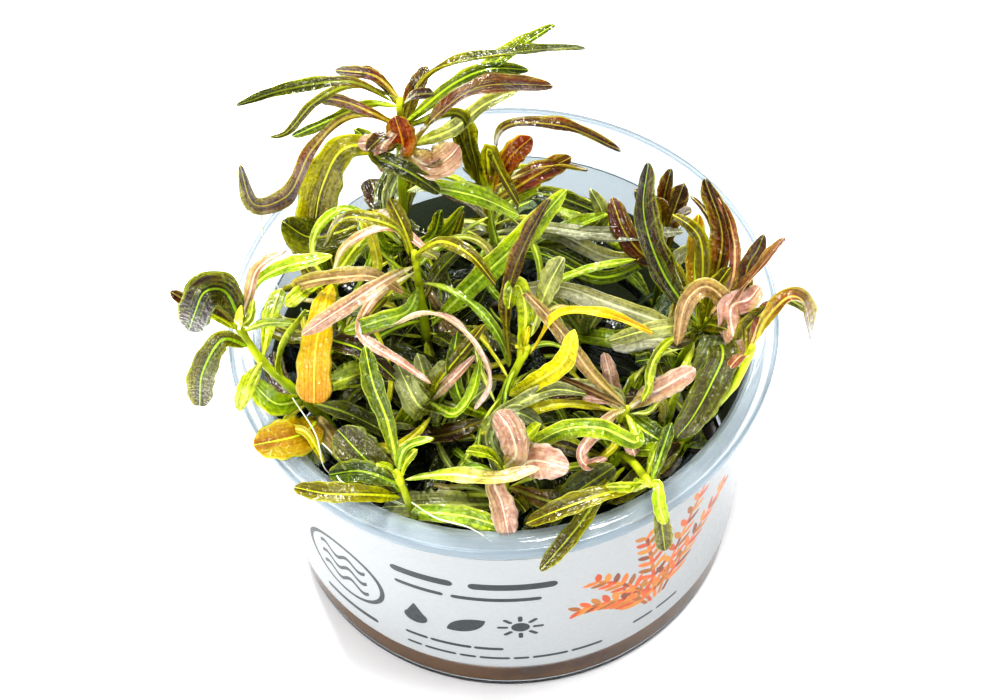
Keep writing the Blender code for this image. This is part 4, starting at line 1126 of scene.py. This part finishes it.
def darkPrint(a, z):
    # Least distance to a ring with three water lines, plain rules, and a drop, a leaf and a sun
    middle, level, radius, half = emblem["ring"]
    shapes = [np.abs(np.hypot(a - middle, z - level) - radius) - half]
    for level in emblem["waves"]:
        curve = emblem["waveRise"] * np.sin((a - middle) * emblem["waveTurns"])
        line = np.abs(z - level - curve) * 0.75 - emblem["waveLine"]
        shapes.append(np.maximum(line, np.abs(a - middle) - emblem["waveHalf"]))
    shapes += [stroke(a, z, (left, level), (right, level), lambda share, half=half: half)
               for left, right, level, half in plainRules]
    shapes.append(dropShape(a, z, *emblem["drop"]))
    shapes.append(lensShape(a, z, *emblem["leaf"]))
    centre, radius, ends, half, spacing = emblem["sun"]
    shapes.append(np.hypot(a - centre[0], z - centre[1]) - radius)
    for turn in np.arange(0.0, 360.0, spacing):
        start, stop = (centre + end * heading(turn)[:2] for end in ends)
        shapes.append(stroke(a, z, start, stop, lambda share: half))
    return np.min(shapes, axis=0)


def warmPrint(a, z):
    # Least distance to the leaves and stalks of curved sprigs, and a tone from 0 to 1 for each leaf
    form = sprigForm
    nearest, tone = np.full(a.shape, 9.0), np.zeros(a.shape)
    spots = np.linspace(0.0, 1.0, form["joints"] + 1)
    for number, (lean, reach, foot) in enumerate(sprigs):
        line = np.stack([foot[0] + reach * spots * np.sin(lean * (0.6 + 0.6 * spots)),
                         foot[1] + reach * spots * np.cos(lean * spots)], axis=1)
        for i in range(form["joints"]):
            direction = line[i + 1] - line[i]
            direction /= np.linalg.norm(direction)
            parts = [(line[i], line[i + 1], lambda share: form["stalk"])]
            for side in (-1, 1):
                across = np.array([direction[1], -direction[0]]) * side
                leaf = across * form["leaf"][0] + direction * form["leaf"][1]
                parts.append((line[i + 1], line[i + 1] + leaf * (1.0 - form["shrink"] * i),
                              lambda share: form["leafWidth"] * np.sin(math.pi * share) ** 0.7 + form["leafLeast"]))
            for j, (start, stop, radiusAt) in enumerate(parts):
                distance = stroke(a, z, start, stop, radiusAt)
                tone = np.where(distance < nearest, ((number * 5 + i * 3 + j * 2) % 7) / 6.0, tone)
                nearest = np.minimum(distance, nearest)
    return nearest, tone


def paperMaterial():  # coated printed paper: an even, faintly fibrous white with a satin sheen and crisp ink
    material, tree, shader = newMaterial("printed satin paper", {
        "IOR": 1.48, "Coat Weight": 0.1, "Coat Roughness": 0.3, "Subsurface Weight": 0.3,
        "Subsurface Radius": (1.0, 1.0, 1.0), "Subsurface Scale": 0.0004})
    place = addNode(tree, "ShaderNodeTexCoord").outputs["Object"]
    fibre = addNode(tree, "ShaderNodeTexNoise",
                    {"Vector": place, "Scale": 1.0 / (label["fibre"] * mm), "Detail": 4.0}).outputs["Fac"]
    shade = addNode(tree, "ShaderNodeMapRange", {0: fibre, 1: 0.3, 2: 0.7, 3: 0.0, 4: 0.25}).outputs[0]
    light, dark = (linear(hexText) for hexText in label["paper"])
    colour = addNode(tree, "ShaderNodeMix", {0: shade, 6: light, 7: dark}, data_type="RGBA").outputs[2]
    tone = addNode(tree, "ShaderNodeAttribute", attribute_name="warmTone").outputs["Fac"]
    stops = [(position, linear(hexText)) for position, hexText in label["warmInks"]]
    warm = addNode(tree, "ShaderNodeValToRGB", {"Fac": tone}, stops).outputs["Color"]
    for name, ink in (("warmInk", warm), ("darkInk", linear(label["ink"]))):
        distance = addNode(tree, "ShaderNodeAttribute", attribute_name=name).outputs["Fac"]
        mask = addNode(tree, "ShaderNodeMapRange", {
            0: distance, 1: -label["inkEdge"], 2: label["inkEdge"], 3: 1.0, 4: 0.0,
        }, interpolation_type="SMOOTHSTEP").outputs[0]
        colour = addNode(tree, "ShaderNodeMix", {0: mask, 6: colour, 7: ink}, data_type="RGBA").outputs[2]
    tree.links.new(colour, shader.inputs["Base Color"])
    gloss = addNode(tree, "ShaderNodeMapRange", {0: fibre, 1: 0.3, 2: 0.7, 3: 0.38, 4: 0.5}).outputs[0]
    tree.links.new(gloss, shader.inputs["Roughness"])
    bump = addNode(tree, "ShaderNodeBump", {"Height": fibre, "Strength": 0.12, "Distance": 0.00005}).outputs[0]
    tree.links.new(bump, shader.inputs["Normal"])
    return material


def paperBack(name, colour, glow):  # uncoated side of the paper, matt, with a painted glow (emission) that stands for the light that comes through to it
    return newMaterial(name, {"Base Color": linear(colour), "Roughness": 0.6, "Emission Color": linear(glow[0]),
                              "Emission Strength": glow[1]})[0]


def makeLabel():
    # A closed sleeve: close columns where it is printed and wider ones behind, rows up its outside
    radius = wallRadius(label["bottom"]) + gap + label["thickness"]
    close = np.arange(label["printFrom"], label["printTo"], label["step"])
    wide = np.linspace(label["printTo"], 2 * math.pi * radius + label["printFrom"], label["plainColumns"],
                       endpoint=False)
    arc = np.concatenate([close, wide])
    height = np.linspace(label["bottom"], label["top"],
                         int((label["top"] - label["bottom"]) / label["step"]) + 1)
    # inner rows: the back splits where the painted shade starts
    inside = np.array([label["top"], label["paintedShadeFrom"], label["bottom"]])
    profileZ = np.concatenate([height, inside])
    profileR = np.concatenate([wallRadius(height) + gap + label["thickness"], wallRadius(inside) + gap])
    columns = turned((arc / radius)[:, None], np.stack([profileR, profileZ], axis=1))
    a, z = (grid.astype(float) for grid in np.broadcast_arrays(arc[:, None], profileZ[None]))
    printed = np.broadcast_to(np.arange(len(profileZ)) < len(height), a.shape)
    warm, tone = warmPrint(a, z)
    values = {"darkInk": np.where(printed, darkPrint(a, z), 9.0).ravel(),
              "warmInk": np.where(printed, warm, 9.0).ravel(), "warmTone": tone.ravel()}
    index = np.arange(a.size).reshape(a.shape)
    beside, after = np.roll(index, -1, axis=0), np.roll(index, -1, axis=1)
    faces = np.stack([index, beside, np.roll(beside, -1, axis=1), after], axis=-1).reshape(-1, 4)
    order = faces % len(profileZ)
    back = (order >= len(height)).all(axis=1) * 1 + (order >= len(height) + 1).all(axis=1) * 1
    # The back carries painted light: a pale painted glow where light comes through the wall, and lower down, behind
    # the plants, a dark olive painted shade with a faint glow
    addPiece("printed_sleeve", columns.reshape(-1, 3), faces.tolist(), [
        paperMaterial(), paperBack("paper back", "#dfe3e6", label["backPaintedGlow"]),
        paperBack("painted shade behind plants", "#4c5a1c", label["paintedShadeGlow"]),
    ], ["label"], values=values, faceMaterial=back)


gel = {
    "segments": 128, "inset": 0.05,             # mm into the wall's plastic, so that no air shows between them
    "crown": [(4.0, 0.5), (2.0, 0.45), (0.8, 0.2), (0.1, 0.0), (0.0, 0.1)],     # in from the edge, below the top
    "corner": 1.6, "cloudSize": 14.0,
    # the shaded colours are painted shade, for the gel's top under the plants
    "colours": ("#7c4c18", "#8a5c24", "#5c3610"), "shaded": ("#2c1c0a", "#3a280f", "#1c1206"),
    "paintedShadeDepth": 0.6,                            # mm below its top that are painted darker, as painted shade of the plants
}


def gelMaterial(name, colours):  # set agar gel: brown and cloudy, with a wet shine
    material, tree, shader = newMaterial(name, {
        "IOR": 1.34, "Subsurface Weight": 0.3, "Subsurface Radius": (1.0, 0.6, 0.3), "Subsurface Scale": 0.002,
    })
    place = addNode(tree, "ShaderNodeTexCoord").outputs["Object"]
    clouds = addNode(tree, "ShaderNodeTexNoise",
                     {"Vector": place, "Scale": 1.0 / (gel["cloudSize"] * mm), "Detail": 4.0}).outputs["Fac"]
    stops = [(0.3 + 0.2 * i, linear(hexText)) for i, hexText in enumerate(colours)]
    colour = addNode(tree, "ShaderNodeValToRGB", {"Fac": clouds}, stops).outputs["Color"]
    tree.links.new(colour, shader.inputs["Base Color"])
    gloss = addNode(tree, "ShaderNodeMapRange", {0: clouds, 1: 0.3, 2: 0.7, 3: 0.12, 4: 0.3}).outputs[0]
    tree.links.new(gloss, shader.inputs["Roughness"])
    return material


def makeGel():
    inset = cup["wall"] - gel["inset"]
    outside = wallRadius(gelTop) - inset
    foot = cup["floor"] + gel["corner"] + gap
    profile = [(outside - inward, gelTop - down) for inward, down in gel["crown"]]
    profile += [(wallRadius(z) - inset, z) for z in np.linspace(8.0, foot, 5)]
    profile += arcPoints((wallRadius(foot) - inset - gel["corner"], foot), gel["corner"], -10, -90, 7)
    poles = (gelTop - gel["crown"][0][1], foot - gel["corner"])
    vertices, quads, fans = turnedSolid(profile, gel["segments"], poles)
    # The faces at the top take the darker copy: painted shade under the plants
    inPaintedShade = (np.concatenate([vertices[:, 2][faces].min(axis=1) for faces in (quads, fans)])
             > gelTop - gel["paintedShadeDepth"])
    addPiece("agar_gel", vertices, quads.tolist() + fans.tolist(),
             [gelMaterial("brown agar gel", gel["colours"]), gelMaterial("gel top with painted shade", gel["shaded"])],
             ["growth_gel"], faceMaterial=inPaintedShade.astype(int))


makeCamera()
makeLight()
makeFloor()
print("camera, light and floor are in place")
materials = {name: leafMaterial(name) for name in leafLooks}
materials["stem"] = stemMaterial()
materials["root"] = rootMaterial()
print("finishes are made:", len(materials))
makeCup()
makeLabel()
makeGel()
print("cup, label and gel are made")
for stemName in stems:
    makeLongLeaves(stemName, makeStem(stemName))
makeRoots()
print("plants are made")
for piece in bpy.data.objects:
    if piece.type == "MESH" and piece.name in frame["nodes"] and not piece.hide_render:
        print("still shown as CAD:", piece.name)
